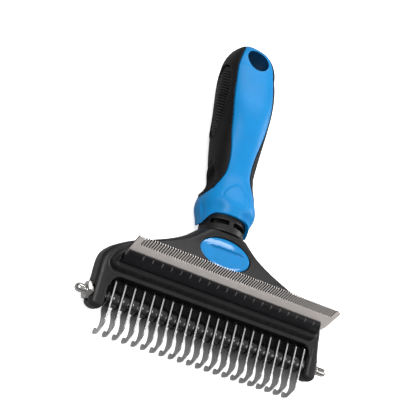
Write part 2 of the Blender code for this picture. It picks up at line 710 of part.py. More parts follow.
def main():
    for old in list(bpy.data.objects):
        bpy.data.objects.remove(old, do_unlink=True)
    steel = material("polished_blade", (0.62, 0.61, 0.60), 0.22, 1.0)
    comb_steel = material("brushed_comb", (0.55, 0.52, 0.50), 0.38, 1.0)
    chrome = material("chrome_rod", (0.78, 0.77, 0.76), 0.12, 1.0)
    frame_black = material("satin_black", (0.022, 0.021, 0.022), 0.42)
    gloss_black = material("gloss_black", (0.012, 0.012, 0.013), 0.16)
    blue = material("handle_blue", (0.02, 0.27, 0.78), 0.34)
    button_blue = material("button_blue", (0.02, 0.29, 0.82), 0.14)
    soft = material("soft_grip", (0.03, 0.028, 0.029), 0.62)
    rib = material("ribbed_pad", (0.018, 0.017, 0.018), 0.6)

    tool = empty("tool_frame")
    tool.rotation_euler.x = math.radians(REST_TILT)
    head = empty("head_frame_axis", tool)
    head.location = (0.0, ROD_ALONG * MM, ROD_HEIGHT * MM)
    head.rotation_euler.x = math.radians(CANT)
    comb = empty("comb_axis", head)
    comb.location = (0.0, COMB_FOOT * MM, COMB_RISE * MM)
    comb.rotation_euler.x = math.radians(COMB_TILT)
    press = empty("button_axis", tool)
    press.location = (0.0, BUTTON_Y * MM, BUTTON_Z * MM)
    press.rotation_euler.x = -tool.rotation_euler.x

    build_rake(head, steel, gloss_black)
    build_rod(head, chrome)
    build_frame(tool, head, press, frame_black)
    build_comb(comb, comb_steel, gloss_black)
    build_button(press, button_blue, chrome)
    build_collar(tool, frame_black)
    build_handle(tool, blue, soft, rib)
    settle(tool)


main()
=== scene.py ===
"""Looks of the undercoat rake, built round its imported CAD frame.

Shapes are drawn in millimetres in four local frames and placed by the rod's axis:

  TOOL   along the handle: y is the distance along its axis, z the height over that axis
  HEAD   on the rod's axis: y up the blades, z out of the front
  COMB   on the clamp bar's upper edge: y towards the tooth tips, z out of the clamp bar
  PRESS  on the neck's face: z out of the face, against the way the button is pressed
"""

import math

import bmesh
import bpy
import numpy as np
from mathutils import Matrix, Vector
from mathutils.geometry import tessellate_polygon


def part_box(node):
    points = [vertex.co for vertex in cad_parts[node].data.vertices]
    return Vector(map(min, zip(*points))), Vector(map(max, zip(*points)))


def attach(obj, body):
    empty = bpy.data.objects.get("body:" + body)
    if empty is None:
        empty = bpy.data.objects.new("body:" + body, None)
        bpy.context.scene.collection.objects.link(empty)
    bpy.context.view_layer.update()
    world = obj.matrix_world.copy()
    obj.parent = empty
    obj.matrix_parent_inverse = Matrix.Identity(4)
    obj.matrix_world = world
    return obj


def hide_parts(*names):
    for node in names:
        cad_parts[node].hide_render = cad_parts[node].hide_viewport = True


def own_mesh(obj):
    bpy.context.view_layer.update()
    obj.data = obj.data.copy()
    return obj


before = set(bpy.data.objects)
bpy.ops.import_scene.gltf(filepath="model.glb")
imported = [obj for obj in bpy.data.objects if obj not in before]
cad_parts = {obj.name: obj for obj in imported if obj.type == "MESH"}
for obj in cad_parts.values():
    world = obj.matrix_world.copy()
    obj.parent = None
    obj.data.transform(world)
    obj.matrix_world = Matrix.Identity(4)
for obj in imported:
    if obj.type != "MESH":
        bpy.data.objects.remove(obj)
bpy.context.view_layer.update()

MM = 0.001
GAP = 0.3  # between neighbouring pieces

# Frames
REST_TILT, CANT, COMB_TILT = 3.755, 10.4, 60.0
ROD_ALONG, ROD_HEIGHT = -0.5, 2.74
COMB_FOOT, COMB_RISE = 18.7, 14.04
BUTTON_Y, BUTTON_Z = 35.8, 8.6

# Rake
BLADES, PITCH, BLADE_THICK = 22, 4.7, 0.6
BLADE_TOP, BLADE_FRONT, BLADE_BACK = 8.3, 4.2, -3.5
TOE_Y, TOE_Z, TOE_R = -14.8, -5.6, 1.45
ROD_R, BORE_R, SPACER_R = 2.0, 2.2, 3.9
ROD_END, NECK_R, NECK_AT, NECK_LONG = 65.5, 1.6, 58.9, 1.3
NUT_FLATS, NUT_THICK, LEFT_NUT_FACE, RIGHT_NUT_FACE = 7.5, 5.2, 60.8, 58.3

# Head frame
ARM_IN, ARM_OUT, ARM_HALF_DEPTH = 52.0, 58.25, 4.95
LOBE_BOTTOM, MOUTH_TOP, MOUTH_FILLET = -6.8, 9.2, 4.5
CURTAIN_LOW, CURTAIN_BACK, CURTAIN_THICK = -3.0, -4.92, 0.75
# The box of mouth walls that get a darker black as painted shade.
MOUTH_PAINT = (51.8, 8.9, -4.4, 3.6)  # half width, top, back and front of the darker mouth
LEAN_RIGHT, LEAN_TOP, SPREAD_LEFT = 1.5, 0.6, 0.6
NECK_TOP = 46.0
TANG_HALF_WIDE, TANG_HALF_DEEP, TANG_END = 6.5, 4.3, 74.0

# Comb
SLOTS, SLOT_PITCH, SLOT_WIDE, SLOT_ROOT, TOOTH_TIP = 81, 1.23, 0.62, 5.7, 11.1
COMB_HALF, COMB_FOOT_U, COMB_BACK, COMB_FACE = 52.4, -6.2, -0.9, -0.1
CLAMP_FACE, CLAMP_TOP, CLAMP_FALL = 1.5, 1.3, 0.9
PEDESTAL_HALF, PEDESTAL_ROUND, PEDESTAL_RIGHT_CUT = 55.2, 3.4, 2.4
CLAMP_LEFT, CLAMP_RIGHT = (52.2, 51.7), (51.2, 48.3)  # half lengths at the lower and upper edge
MARK_HALF, MARK_SUNK, MARK_PROUD = 0.17, 0.12, 0.05

# Button
CREASE_Y, CREASE_DROP, CREASE_RIDGE, CREASE_THIN = 2.5, 0.75, 0.3, 0.3
BUTTON_HALF_X, BUTTON_HALF_Y, BUTTON_UNDER, BUTTON_RIM, BUTTON_CROWN = 13.2, 7.6, -3.8, -0.5, 1.1
POCKET_FLOOR, SPRING_LOW, SPRING_HIGH, SPRING_R, WIRE_R = -6.0, -8.6, -1.6, 2.7, 0.38

# Collar and handle
COLLAR_HALF_X, COLLAR_HALF_Z, COLLAR_WALL, COLLAR_LOW, COLLAR_HIGH = 11.2, 9.6, 1.6, 46.6, 56.0
WINDOW_LOW, WINDOW_HIGH, WINDOW_IN, WINDOW_OUT = 50.0, 52.4, 1.1, 9.2
STATIONS = (
    (46.0, 11.9, 10.3, 10.2),
    (53.5, 12.7, 11.1, 10.9),
    (60.0, 14.4, 12.9, 11.8),
    (68.0, 12.7, 11.4, 11.2),
    (77.0, 10.9, 9.4, 9.7),
    (90.0, 11.7, 11.0, 12.2),
    (106.0, 13.1, 14.1, 13.2),
    (122.0, 14.4, 12.8, 12.5),
    (136.0, 14.0, 10.0, 11.2),
)
CAP_START, HANDLE_END, ROUNDNESS = 136.0, 153.3, 2.5
SQUARER, SQUARE_FROM, SQUARE_TO = 3.1, 100.0, 118.0
SKIN, SKIRT_HIGH, SKIRT_DROP, SKIRT_HALF = 2.8, 54.6, 6.4, 12.4
PANEL_FLOOR, END_FLOOR, FLOOR_FROM, FLOOR_LONG = 5.6, 1.5, 90.0, 25.0
ARCH_DEEP, HOLLOW_DEEP = 0.36, 1.5
PANEL_EDGE = ((64.8, 15.0), (66.0, 11.9), (67.6, 10.9), (69.5, 10.0), (72.0, 8.6), (77.0, 6.6),
              (83.0, 6.2), (90.0, 7.0), (98.0, 8.6), (107.0, 9.8), (116.0, 10.6), (126.0, 10.6),
              (137.0, 9.9), (145.0, 8.0), (151.0, 5.4), (157.0, 2.0))
GUARD_LINE = ((-18.0, 64.0), (0.0, 64.0), (3.4, 64.7), (5.8, 65.8), (7.5, 66.8), (18.0, 66.8))
HOLE_Y, HOLE_R, TUBE_R = 142.4, 6.1, 7.4
PAD_Y, PAD_Z, PAD_LONG, PAD_WIDE, PAD_TURN = 117.5, -0.8, 19.3, 8.0, 6.5
PAD_FACE, PAD_BACK, RIB_PITCH, RIB_HIGH = 0.7, 1.9, 1.5, 0.5
BEAD_HIGH, SCOOP_DEEP, SCOOP_RIDGE, SCOOP_INSIDE = 0.28, 1.25, 0.3, 6.0
SCOOP_X, SCOOP_Y, SCOOP_Z, SCOOP_LEAN, SCOOP_RADII = 16.0, 73.2, -1.5, -0.165, (5.6, 13.6, 10.8)
SCOOP_EDGE = ((82.0, 1.6), (78.6, 3.5), (75.3, 4.9), (71.3, 5.9), (68.5, 5.6), (66.4, 3.8), (65.4, 1.2),
              (66.0, -3.0), (69.0, -6.8), (73.0, -8.0), (77.2, -6.6), (80.8, -3.2))
ARCH = ((-7.8, 62.6), (-7.5, 64.5), (-5.8, 67.2), (-3.6, 69.4), (-1.1, 71.0), (1.15, 70.9), (2.6, 69.3),
        (4.7, 66.2), (6.1, 63.3), (6.25, 61.1))

# Studio
FLOOR_HALF, FLOOR_AT = 6.0, -0.0005
LIGHTS = (  # name, place, target and size in metres, power in watts
    ("key", (-0.3, -0.25, 1.0), (0.0, 0.0, 0.0), (0.55, 0.4), 7.5),
    ("fill", (0.75, -0.4, 0.6), (0.0, 0.0, 0.0), (0.5, 0.5), 2.0),
    ("rim", (0.9, 0.25, 0.3), (0.0, 0.0, 0.01), (0.5, 0.2), 3.5),
    ("back", (0.15, 0.85, 0.75), (0.0, 0.0, 0.0), (0.9, 0.3), 4.5),
)
CAMERA_AT = (-0.21427, -0.25708, 0.41615)
CAMERA_TURN = (24.818, -30.306, 8.749)
CAMERA_LENS = 99.0


def frames():
    """The four local frames, from the rod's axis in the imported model."""
    low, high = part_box("rake_rod")
    axis = Matrix.Translation((low + high) / 2)

    def move(y, z):
        return Matrix.Translation((0.0, y * MM, z * MM))

    def turn(degrees):
        return Matrix.Rotation(math.radians(degrees), 4, "X")

    tool = axis @ turn(REST_TILT) @ move(-ROD_ALONG, -ROD_HEIGHT)
    head = axis @ turn(REST_TILT + CANT)
    comb = head @ move(COMB_FOOT, COMB_RISE) @ turn(COMB_TILT)
    press = tool @ move(BUTTON_Y, BUTTON_Z) @ turn(-REST_TILT)
    return tool, head, comb, press


TOOL, HEAD, COMB, PRESS = frames()


# Mesh helpers


def solid(name, verts, faces, space, smooth=40.0):
    """A closed mesh from points in millimetres of one of the frames."""
    mesh = bpy.data.meshes.new(name)
    mesh.from_pydata([space @ (Vector(v) * MM) for v in verts], [], faces)
    shape = bmesh.new()
    shape.from_mesh(mesh)
    bmesh.ops.recalc_face_normals(shape, faces=shape.faces)
    shape.to_mesh(mesh)
    shape.free()
    mesh.shade_smooth()
    mesh.set_sharp_from_angle(angle=math.radians(smooth))
    made = bpy.data.objects.new(name, mesh)
    bpy.context.scene.collection.objects.link(made)
    return made


def loft(name, rings, space, wrap=False, smooth=40.0):
    """A solid through closed rings of equal count, capped or wrapped round to its start."""
    count = len(rings[0])
    verts = [p for ring in rings for p in ring]
    rows = len(rings)
    faces = [] if wrap else [list(range(count)), [len(verts) - count + i for i in range(count)]]
    for row in range(rows if wrap else rows - 1):
        low, high = row * count, (row + 1) % rows * count
        for i in range(count):
            j = (i + 1) % count
            faces.append([low + i, low + j, high + j, high + i])
    return solid(name, verts, faces, space, smooth)


def plate(name, outline, low, high, space, hole=None, axes=(0, 1, 2), smooth=40.0):
    """A flat piece: an outline, with one hole if given, extruded from low to high.

    low is a level, or a function that gives one for each point of the outline.
    """
    loops = [outline] + ([hole] if hole else [])
    triangles = tessellate_polygon([[Vector((a, b, 0.0)) for a, b in loop] for loop in loops])
    count = sum(len(loop) for loop in loops)
    verts = []
    for level in (low, high):
        for a, b in (p for loop in loops for p in loop):
            point = [0.0, 0.0, 0.0]
            point[axes[0]], point[axes[1]] = a, b
            point[axes[2]] = level(a, b) if callable(level) else level
            verts.append(point)
    faces = [list(t) for t in triangles] + [[i + count for i in t] for t in triangles]
    start = 0
    for loop in loops:
        for i in range(len(loop)):
            a, b = start + i, start + (i + 1) % len(loop)
            faces.append([a, b, b + count, a + count])
        start += len(loop)
    return solid(name, verts, faces, space, smooth)


def arc(center, radius, start, end, steps):
    turns = [math.radians(start + (end - start) * i / steps) for i in range(steps + 1)]
    return [(center[0] + radius * math.cos(t), center[1] + radius * math.sin(t)) for t in turns]


def oval(half_x, half_y, steps=96):
    turns = [math.tau * i / steps for i in range(steps)]
    return [(half_x * math.cos(t), half_y * math.sin(t)) for t in turns]


def smooth_between(rows, steps):
    """Rows of numbers with a Catmull-Rom curve drawn through them."""
    ends = [rows[0]] + list(rows) + [rows[-1]]
    found = []
    for a, b, c, d in zip(ends, ends[1:], ends[2:], ends[3:]):
        for i in range(steps):
            t = i / steps
            weights = (
                -0.5 * t + t * t - 0.5 * t**3,
                1 - 2.5 * t * t + 1.5 * t**3,
                0.5 * t + 2 * t * t - 1.5 * t**3,
                -0.5 * t * t + 0.5 * t**3,
            )
            found.append([sum(w * v for w, v in zip(weights, four)) for four in zip(a, b, c, d)])
    found.append(list(rows[-1]))
    return found


def lathe(profile, sides=48):
    """Rings round the X axis from (x, radius) pairs."""
    turns = [math.tau * i / sides for i in range(sides)]
    return [[(x, r * math.cos(t), r * math.sin(t)) for t in turns] for x, r in profile]


def rounded_ring(center, wide, deep, radius, tilt=0.0, steps=10):
    """A rounded rectangle across the Y axis, given by its half sizes."""
    turn = Matrix.Rotation(math.radians(tilt), 3, "X")
    ring = []
    for corner, (sx, sz) in enumerate(((1, 1), (-1, 1), (-1, -1), (1, -1))):
        middle = (sx * (wide - radius), sz * (deep - radius))
        for px, pz in arc(middle, radius, 90 * corner, 90 * corner + 90, steps):
            ring.append(turn @ Vector((px, 0.0, pz)) + Vector(center))
    return ring


def combine(target, others, operation="DIFFERENCE"):
    """Booleans with these helpers, which are then gone."""
    for other in others:
        step = target.modifiers.new("combine", "BOOLEAN")
        step.operation = operation
        step.solver = "EXACT"
        step.object = other
    bake(target)
    for other in others:
        bpy.data.objects.remove(other)
    return target


def bake(target):
    """Applies all modifiers."""
    bpy.context.view_layer.update()
    graph = bpy.context.evaluated_depsgraph_get()
    mesh = bpy.data.meshes.new_from_object(target.evaluated_get(graph), depsgraph=graph)
    target.modifiers.clear()
    target.data = mesh
    return target


def bevel(target, width, segments=2, angle=50.0):
    step = target.modifiers.new("edges", "BEVEL")
    step.width = width * MM
    step.segments = segments
    step.limit_method = "ANGLE"
    step.angle_limit = math.radians(angle)
    return bake(target)


def remesh(target, voxel, rounds):
    """One even skin, with the moulded edges rounded off."""
    step = target.modifiers.new("skin", "REMESH")
    step.mode = "VOXEL"
    step.voxel_size = voxel * MM
    bake(target)
    relax(target.data, rounds)
    return target


def points(mesh):
    co = np.empty(len(mesh.vertices) * 3, np.float32)
    mesh.vertices.foreach_get("co", co)
    return co.reshape(-1, 3).astype(float)


def relax(mesh, rounds):
    """Smooths without shrinking: a step in, then a slightly longer step out."""
    pairs = np.empty(len(mesh.edges) * 2, np.int32)
    mesh.edges.foreach_get("vertices", pairs)
    a, b = pairs.reshape(-1, 2).T
    co = points(mesh)
    count = len(co)
    near = np.maximum(np.bincount(a, minlength=count) + np.bincount(b, minlength=count), 1)
    for step in range(rounds * 2):
        total = np.stack([
            np.bincount(a, co[b, k], count) + np.bincount(b, co[a, k], count) for k in range(3)
        ], 1)
        co += (0.52 if step % 2 == 0 else -0.54) * (total / near[:, None] - co)
    mesh.vertices.foreach_set("co", co.astype(np.float32).ravel())
    mesh.shade_smooth()
    mesh.update()


def sculpt(target, space, rise):
    """Moves each point along its normal by rise(points, normals), both in a local frame, in mm."""
    mesh = target.data
    co = points(mesh)
    normals = np.empty(len(mesh.vertices) * 3, np.float32)
    mesh.vertex_normals.foreach_get("vector", normals)
    normals = normals.reshape(-1, 3).astype(float)
    turn, origin = np.array(space.to_3x3()), np.array(space.translation)
    co += normals * rise((co - origin) @ turn / MM, normals @ turn)[:, None] * MM
    mesh.vertices.foreach_set("co", co.astype(np.float32).ravel())
    mesh.update()
    return target


def shift(target, space, move):
    """Moves each point by move(points), both in a local frame, in mm."""
    co = points(target.data)
    turn, origin = np.array(space.to_3x3()), np.array(space.translation)
    local = (co - origin) @ turn / MM
    co += move(local) @ turn.T * MM
    target.data.vertices.foreach_set("co", co.astype(np.float32).ravel())
    target.data.update()


def ease(value, low, high):
    """0 below low, 1 above high and smooth between."""
    t = np.clip((value - low) / (high - low), 0, 1)
    return t * t * (3 - 2 * t)


def bell_curve(distance, width):
    return np.exp(-((distance / width) ** 2))


def to_line(px, py, line):
    """Distance from points to a drawn line in the plane."""
    best = np.full(len(px), 1e9)
    for (ax, ay), (bx, by) in zip(line, line[1:]):
        dx, dy = bx - ax, by - ay
        t = np.clip(((px - ax) * dx + (py - ay) * dy) / (dx * dx + dy * dy), 0, 1)
        best = np.minimum(best, np.hypot(px - ax - t * dx, py - ay - t * dy))
    return best


def within(px, py, line):
    """Which points a closed drawn line holds."""
    held = np.zeros(len(px), bool)
    for (ax, ay), (bx, by) in zip(line, line[1:]):
        if ay != by:
            crossed = (ay > py) != (by > py)
            held ^= crossed & (px < (bx - ax) * (py - ay) / (by - ay) + ax)
    return held


# Materials


def finish(name, color, rough, metallic=0.0, *, shade=0.12, spread=0.06, cloud=160.0, grain=2400.0,
           depth=0.006, wear_and_highlight=0.0, brushed=None, coat=0.0, specular=0.5, sides=None):
    """A procedural material: clouded colour, uneven gloss, fine grain and edges lightened as wear and, on
    the ribbed pads, as painted highlight.

    depth is the grain's height in millimetres; brushed stretches the grain along one axis;
    sides is another colour for the faces that look along the X axis, which on the comb is painted shade on
    its slot walls.
    """
    made = bpy.data.materials.new(name)
    made.use_nodes = True
    tree = made.node_tree
    shader = tree.nodes["Principled BSDF"]
    shader.inputs["Metallic"].default_value = metallic
    shader.inputs["Coat Weight"].default_value = coat
    shader.inputs["Coat Roughness"].default_value = 0.08
    shader.inputs["Specular IOR Level"].default_value = specular

    def node(kind, **values):
        added = tree.nodes.new(kind)
        for key, value in values.items():
            added.inputs[key].default_value = value
        return added

    def join(source, output, target, entry):
        tree.links.new(source.outputs[output], target.inputs[entry])

    place = node("ShaderNodeTexCoord")
    clouds = node("ShaderNodeTexNoise", Scale=cloud, Detail=4.0, Roughness=0.6)
    join(place, "Object", clouds, "Vector")
    dark = tuple(c * (1 - shade) for c in color)
    light = tuple(min(c * (1 + shade) + 0.002, 1.0) for c in color)
    tone = tree.nodes.new("ShaderNodeValToRGB")
    tone.color_ramp.elements[0].position = 0.3
    tone.color_ramp.elements[0].color = (*dark, 1.0)
    tone.color_ramp.elements[1].position = 0.7
    tone.color_ramp.elements[1].color = (*light, 1.0)
    join(clouds, "Fac", tone, "Fac")
    last, socket = tone, "Color"
    # Lighter sharp edges: wear, and painted highlight where it is turned up.
    if wear_and_highlight:
        edges = tree.nodes.new("ShaderNodeNewGeometry")
        sharp = node("ShaderNodeMapRange")
        sharp.inputs["From Min"].default_value = 0.52
        sharp.inputs["From Max"].default_value = 0.62
        sharp.inputs["To Max"].default_value = wear_and_highlight
        join(edges, "Pointiness", sharp, "Value")
        mix = tree.nodes.new("ShaderNodeMixRGB")
        mix.inputs["Color2"].default_value = (*(min(c * 1.6 + 0.03, 1.0) for c in color), 1.0)
        join(sharp, "Result", mix, "Fac")
        join(last, socket, mix, "Color1")
        last, socket = mix, "Color"
    if sides:
        facing = tree.nodes.new("ShaderNodeNewGeometry")
        parts = tree.nodes.new("ShaderNodeSeparateXYZ")
        join(facing, "Normal", parts, "Vector")
        size = tree.nodes.new("ShaderNodeMath")
        size.operation = "ABSOLUTE"
        join(parts, "X", size, 0)
        across = node("ShaderNodeMapRange")
        across.inputs["From Min"].default_value = 0.45
        across.inputs["From Max"].default_value = 0.85
        join(size, "Value", across, "Value")
        mix = tree.nodes.new("ShaderNodeMixRGB")
        mix.inputs["Color2"].default_value = (*sides, 1.0)
        join(across, "Result", mix, "Fac")
        join(last, socket, mix, "Color1")
        last, socket = mix, "Color"
    join(last, socket, shader, "Base Color")

    gloss = node("ShaderNodeMapRange")
    gloss.inputs["To Min"].default_value = max(rough - spread, 0.02)
    gloss.inputs["To Max"].default_value = min(rough + spread, 1.0)
    smudge = node("ShaderNodeTexNoise", Scale=cloud * 2.5, Detail=6.0, Roughness=0.7)
    join(place, "Object", smudge, "Vector")
    join(smudge, "Fac", gloss, "Value")
    join(gloss, "Result", shader, "Roughness")

    stretch = node("ShaderNodeMapping")
    stretch.inputs["Scale"].default_value = brushed or (1.0, 1.0, 1.0)
    join(place, "Object", stretch, "Vector")
    fine = node("ShaderNodeTexNoise", Scale=grain, Detail=3.0, Roughness=0.55)
    join(stretch, "Vector", fine, "Vector")
    bump = node("ShaderNodeBump", Strength=1.0, Distance=depth * MM)
    join(fine, "Fac", bump, "Height")
    join(bump, "Normal", shader, "Normal")
    return made


BLADE_STEEL = finish("blade_steel", (0.98, 0.975, 0.97), 0.25, 1.0, shade=0.02, spread=0.04, cloud=420.0,
                     depth=0.0006, brushed=(1.0, 0.08, 1.0), sides=(0.70, 0.69, 0.69))
# The sides colour paints the comb's slot walls nearly black as painted shade.
COMB_STEEL = finish("comb_steel", (0.86, 0.80, 0.77), 0.42, 1.0, shade=0.05, spread=0.05, cloud=120.0,
                    depth=0.002, brushed=(0.05, 1.0, 1.0), sides=(0.008, 0.008, 0.008))
CHROME = finish("chrome", (0.55, 0.535, 0.52), 0.17, 1.0, shade=0.10, spread=0.06, cloud=600.0, depth=0.003)
SPRING_WIRE = finish("spring_wire", (0.50, 0.50, 0.51), 0.25, 1.0, shade=0.08, cloud=900.0, depth=0.002)
FRAME_BLACK = finish("frame_black", (0.010, 0.0092, 0.0096), 0.42, shade=0.18, spread=0.08, depth=0.007,
                     grain=2600.0, wear_and_highlight=0.25, specular=0.32)
# Painted shade, for the mouth walls and the finger scoops' floors.
PAINTED_SHADE_BLACK = finish("painted_shade_black", (0.004, 0.004, 0.004), 0.6, shade=0.15, spread=0.08, depth=0.002,
                     specular=0.12)
GLOSS_BLACK = finish("gloss_black", (0.004, 0.004, 0.0045), 0.12, shade=0.15, spread=0.02, cloud=380.0,
                     depth=0.0001, wear_and_highlight=0.1, specular=1.0)
CLAMP_BLACK = finish("clamp_black", (0.004, 0.004, 0.0055), 0.3, shade=0.15, spread=0.05, cloud=90.0,
                     depth=0.0008, wear_and_highlight=0.3, specular=0.13)
MARK_GREY = finish("mark_grey", (0.095, 0.09, 0.095), 0.45, shade=0.25, cloud=900.0, depth=0.002)
BLUE = finish("handle_blue", (0.003, 0.23, 0.57), 0.4, shade=0.05, spread=0.06, cloud=70.0, grain=1900.0,
              depth=0.005, wear_and_highlight=0.15, specular=0.24)
# Painted shade for the wall of the hanging hole.
HOLE_SHADE_BLUE = finish("painted_shade_hole_blue", (0.001, 0.055, 0.15), 0.4, shade=0.1, spread=0.06, cloud=90.0, depth=0.003,
                   specular=0.2)
BUTTON_BLUE = finish("button_blue", (0.003, 0.22, 0.55), 0.14, shade=0.04, spread=0.04, cloud=140.0,
                     depth=0.002, wear_and_highlight=0.2, coat=0.5)
SOFT_BLACK = finish("soft_grip", (0.006, 0.0056, 0.006), 0.5, shade=0.15, spread=0.08, cloud=110.0,
                    grain=3200.0, depth=0.01, wear_and_highlight=0.25, specular=0.17)
# Full edge lightening here paints highlights on the rib crests.
RIB_BLACK = finish("ribbed_pad", (0.004, 0.0038, 0.0038), 0.4, shade=0.2, spread=0.08, cloud=260.0,
                   grain=3200.0, depth=0.003, wear_and_highlight=1.0, specular=0.3)


def piece(made, look, body, slot, *nodes):
    """Gives a piece its material, its body and the CAD nodes that it stands for."""
    made.data.materials.clear()
    made.data.materials.append(look)
    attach(made, body)
    if nodes:
        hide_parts(*nodes)
    return made


def paint(made, space, look, test):
    """A second material on the faces whose middles, in a local frame in mm, pass the test."""
    made.data.materials.append(look)
    mid = np.empty(len(made.data.polygons) * 3, np.float32)
    made.data.polygons.foreach_get("center", mid)
    turn, origin = np.array(space.to_3x3()), np.array(space.translation)
    chosen = test(*((mid.reshape(-1, 3) - origin) @ turn / MM).T)
    made.data.polygons.foreach_set("material_index", chosen.astype(np.int32))
    made.data.update()


# Rake blades, spacers, rod and nuts


def blade_outline():
    """One blade from the side, as (y up the blade, z to the front)."""
    top = BLADE_TOP
    corner = [(top, 2.2), (top - 0.4, 3.4), (top - 1.6, BLADE_FRONT)]
    heel = [(-8.6, BLADE_FRONT), (-10.6, 3.9), (-12.3, 2.9), (-13.8, 1.5), (-15.2, -0.4), (-16.1, -2.4)]
    toe = arc((TOE_Y, TOE_Z), TOE_R, 200, 420, 30)
    inner = [(-14.0, -3.1), (-13.3, -2.2), (-12.0, -1.7), (-10.0, -1.8), (-8.0, -2.5), (-6.2, -3.8),
             (-5.2, -4.3), (-4.2, -4.2), (-3.2, BLADE_BACK)]
    outline = [tuple(p) for p in smooth_between(corner, 4)]
    outline += [tuple(p) for p in smooth_between(heel + [toe[0]], 6)[:-1]]
    outline += toe
    outline += [tuple(p) for p in smooth_between([toe[-1]] + inner, 6)[1:]]
    return outline + [(top, BLADE_BACK)]


def place_copy(name, mesh, x):
    made = bpy.data.objects.new(name, mesh)
    bpy.context.scene.collection.objects.link(made)
    made.location.x = x * MM
    return made


def build_blades():
    bore = arc((0.0, 0.0), BORE_R, 360, 7.5, 47)
    half = BLADE_THICK / 2
    first = plate("blade", blade_outline(), -half, half, HEAD, bore, (1, 2, 0))
    bevel(first, 0.13, 3)
    first.data.shade_smooth()
    first.data.set_sharp_from_angle(angle=math.radians(60))
    first.data.materials.append(BLADE_STEEL)
    for index in range(BLADES):
        made = place_copy(f"blade_{index + 1:02d}", first.data, (index - (BLADES - 1) / 2) * PITCH)
        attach(made, "rake")
        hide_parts(f"rake_blade_{index + 1:02d}")
    bpy.data.objects.remove(first)


def spacer_rings(long):
    """A barrel round the rod: a slight crown, rounded shoulders and the bore."""
    half = long / 2
    r = SPACER_R
    right = [(0.0, r), (half * 0.4, r - 0.02), (half - 0.55, r - 0.06), (half - 0.3, r - 0.15),
             (half - 0.12, r - 0.32), (half - 0.03, r - 0.52), (half, r - 0.8), (half, BORE_R + 0.15),
             (half - 0.1, BORE_R)]
    left = [(-x, radius) for x, radius in right[::-1]]
    return lathe(left[:-1] + right, 64)


def build_spacers():
    long = PITCH - BLADE_THICK - 2 * GAP
    edge = (BLADES - 1) / 2 * PITCH + BLADE_THICK / 2 + GAP
    reach = ARM_IN - GAP - edge
    middle = loft("spacer", spacer_rings(long), HEAD, wrap=True, smooth=60)
    end = loft("end_spacer", spacer_rings(reach), HEAD, wrap=True, smooth=60)
    for mesh in (middle.data, end.data):
        mesh.materials.append(GLOSS_BLACK)
    for index in range(BLADES + 1):
        x, mesh = (index - BLADES / 2) * PITCH, middle.data
        if index in (0, BLADES):
            x, mesh = math.copysign(edge + reach / 2, x), end.data
        made = place_copy(f"barrel_{index + 1:02d}", mesh, x)
        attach(made, "rake")
        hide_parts(f"spacer_{index + 1:02d}")
    bpy.data.objects.remove(middle)
    bpy.data.objects.remove(end)


def build_rod():
    turns = np.linspace(0.12, 1.5, 12)
    dome = [(ROD_END - ROD_R * (1 - math.cos(a)), ROD_R * math.sin(a)) for a in turns]
    left = [(-x, r) for x, r in dome] + [(-ROD_END + ROD_R, ROD_R), (-62.3, ROD_R)]
    # A turned neck between each nut and the rounded end, shallow on the left.
    left += [(-62.1, ROD_R - 0.15), (-61.2, ROD_R - 0.15), (-61.0, ROD_R)]
    after = NECK_AT + NECK_LONG
    groove = [(NECK_AT, ROD_R), (NECK_AT + 0.12, NECK_R + 0.1), (NECK_AT + 0.3, NECK_R),
              (after, NECK_R), (after + 0.18, NECK_R + 0.1), (after + 0.3, ROD_R)]
    right = [(after + 0.6, ROD_R), (ROD_END - ROD_R, ROD_R)] + dome[::-1]
    rod = loft("rod", lathe(left + groove + right, 56), HEAD, smooth=35)
    piece(rod, CHROME, "rake", "chrome", "rake_rod")
    for name, side, face in (("left", -1, LEFT_NUT_FACE), ("right", 1, RIGHT_NUT_FACE)):
        build_nut(name, side, face)


def build_nut(name, side, face):
    """A hexagon nut with cone-cut corners and a countersunk bore."""
    sides = 72
    turns = [math.tau * i / sides for i in range(sides)]
    flat = NUT_FLATS / 2

    def hexagon(turn):
        return flat / math.cos((turn + math.pi / 6) % (math.pi / 3) - math.pi / 6)

    rings = []
    depths = [0.0, 0.1, 0.22, 0.36, 0.52, 0.7]
    for depth in depths + [NUT_THICK - d for d in depths[::-1]]:
        limit = flat * 0.97 + min(depth, NUT_THICK - depth) * 1.6
        x = side * (face - depth)
        ring = [(x, min(hexagon(t), limit), t) for t in turns]
        rings.append([(x, r * math.cos(t), r * math.sin(t)) for x, r, t in ring])
    wide, sink = BORE_R + 0.5, 0.4
    for depth, radius in ((NUT_THICK, wide), (NUT_THICK - sink, BORE_R), (sink, BORE_R), (0.0, wide)):
        x = side * (face - depth)
        rings.append([(x, radius * math.cos(t), radius * math.sin(t)) for t in turns])
    nut = loft(f"hex_nut_{name}", rings, HEAD, wrap=True, smooth=28)
    piece(nut, CHROME, "rake", "chrome", f"nut_{name}")


# Head frame


def tool_to_head(y, z):
    turn = math.radians(CANT)
    dy, dz = y - ROD_ALONG, z - ROD_HEIGHT
    return dy * math.cos(turn) + dz * math.sin(turn), dz * math.cos(turn) - dy * math.sin(turn)


def comb_to_head(u, w):
    """(z, y) in the head frame of a point in the comb frame."""
    turn = math.radians(COMB_TILT)
    y = COMB_FOOT + u * math.cos(turn) - w * math.sin(turn)
    return COMB_RISE + u * math.sin(turn) + w * math.cos(turn), y


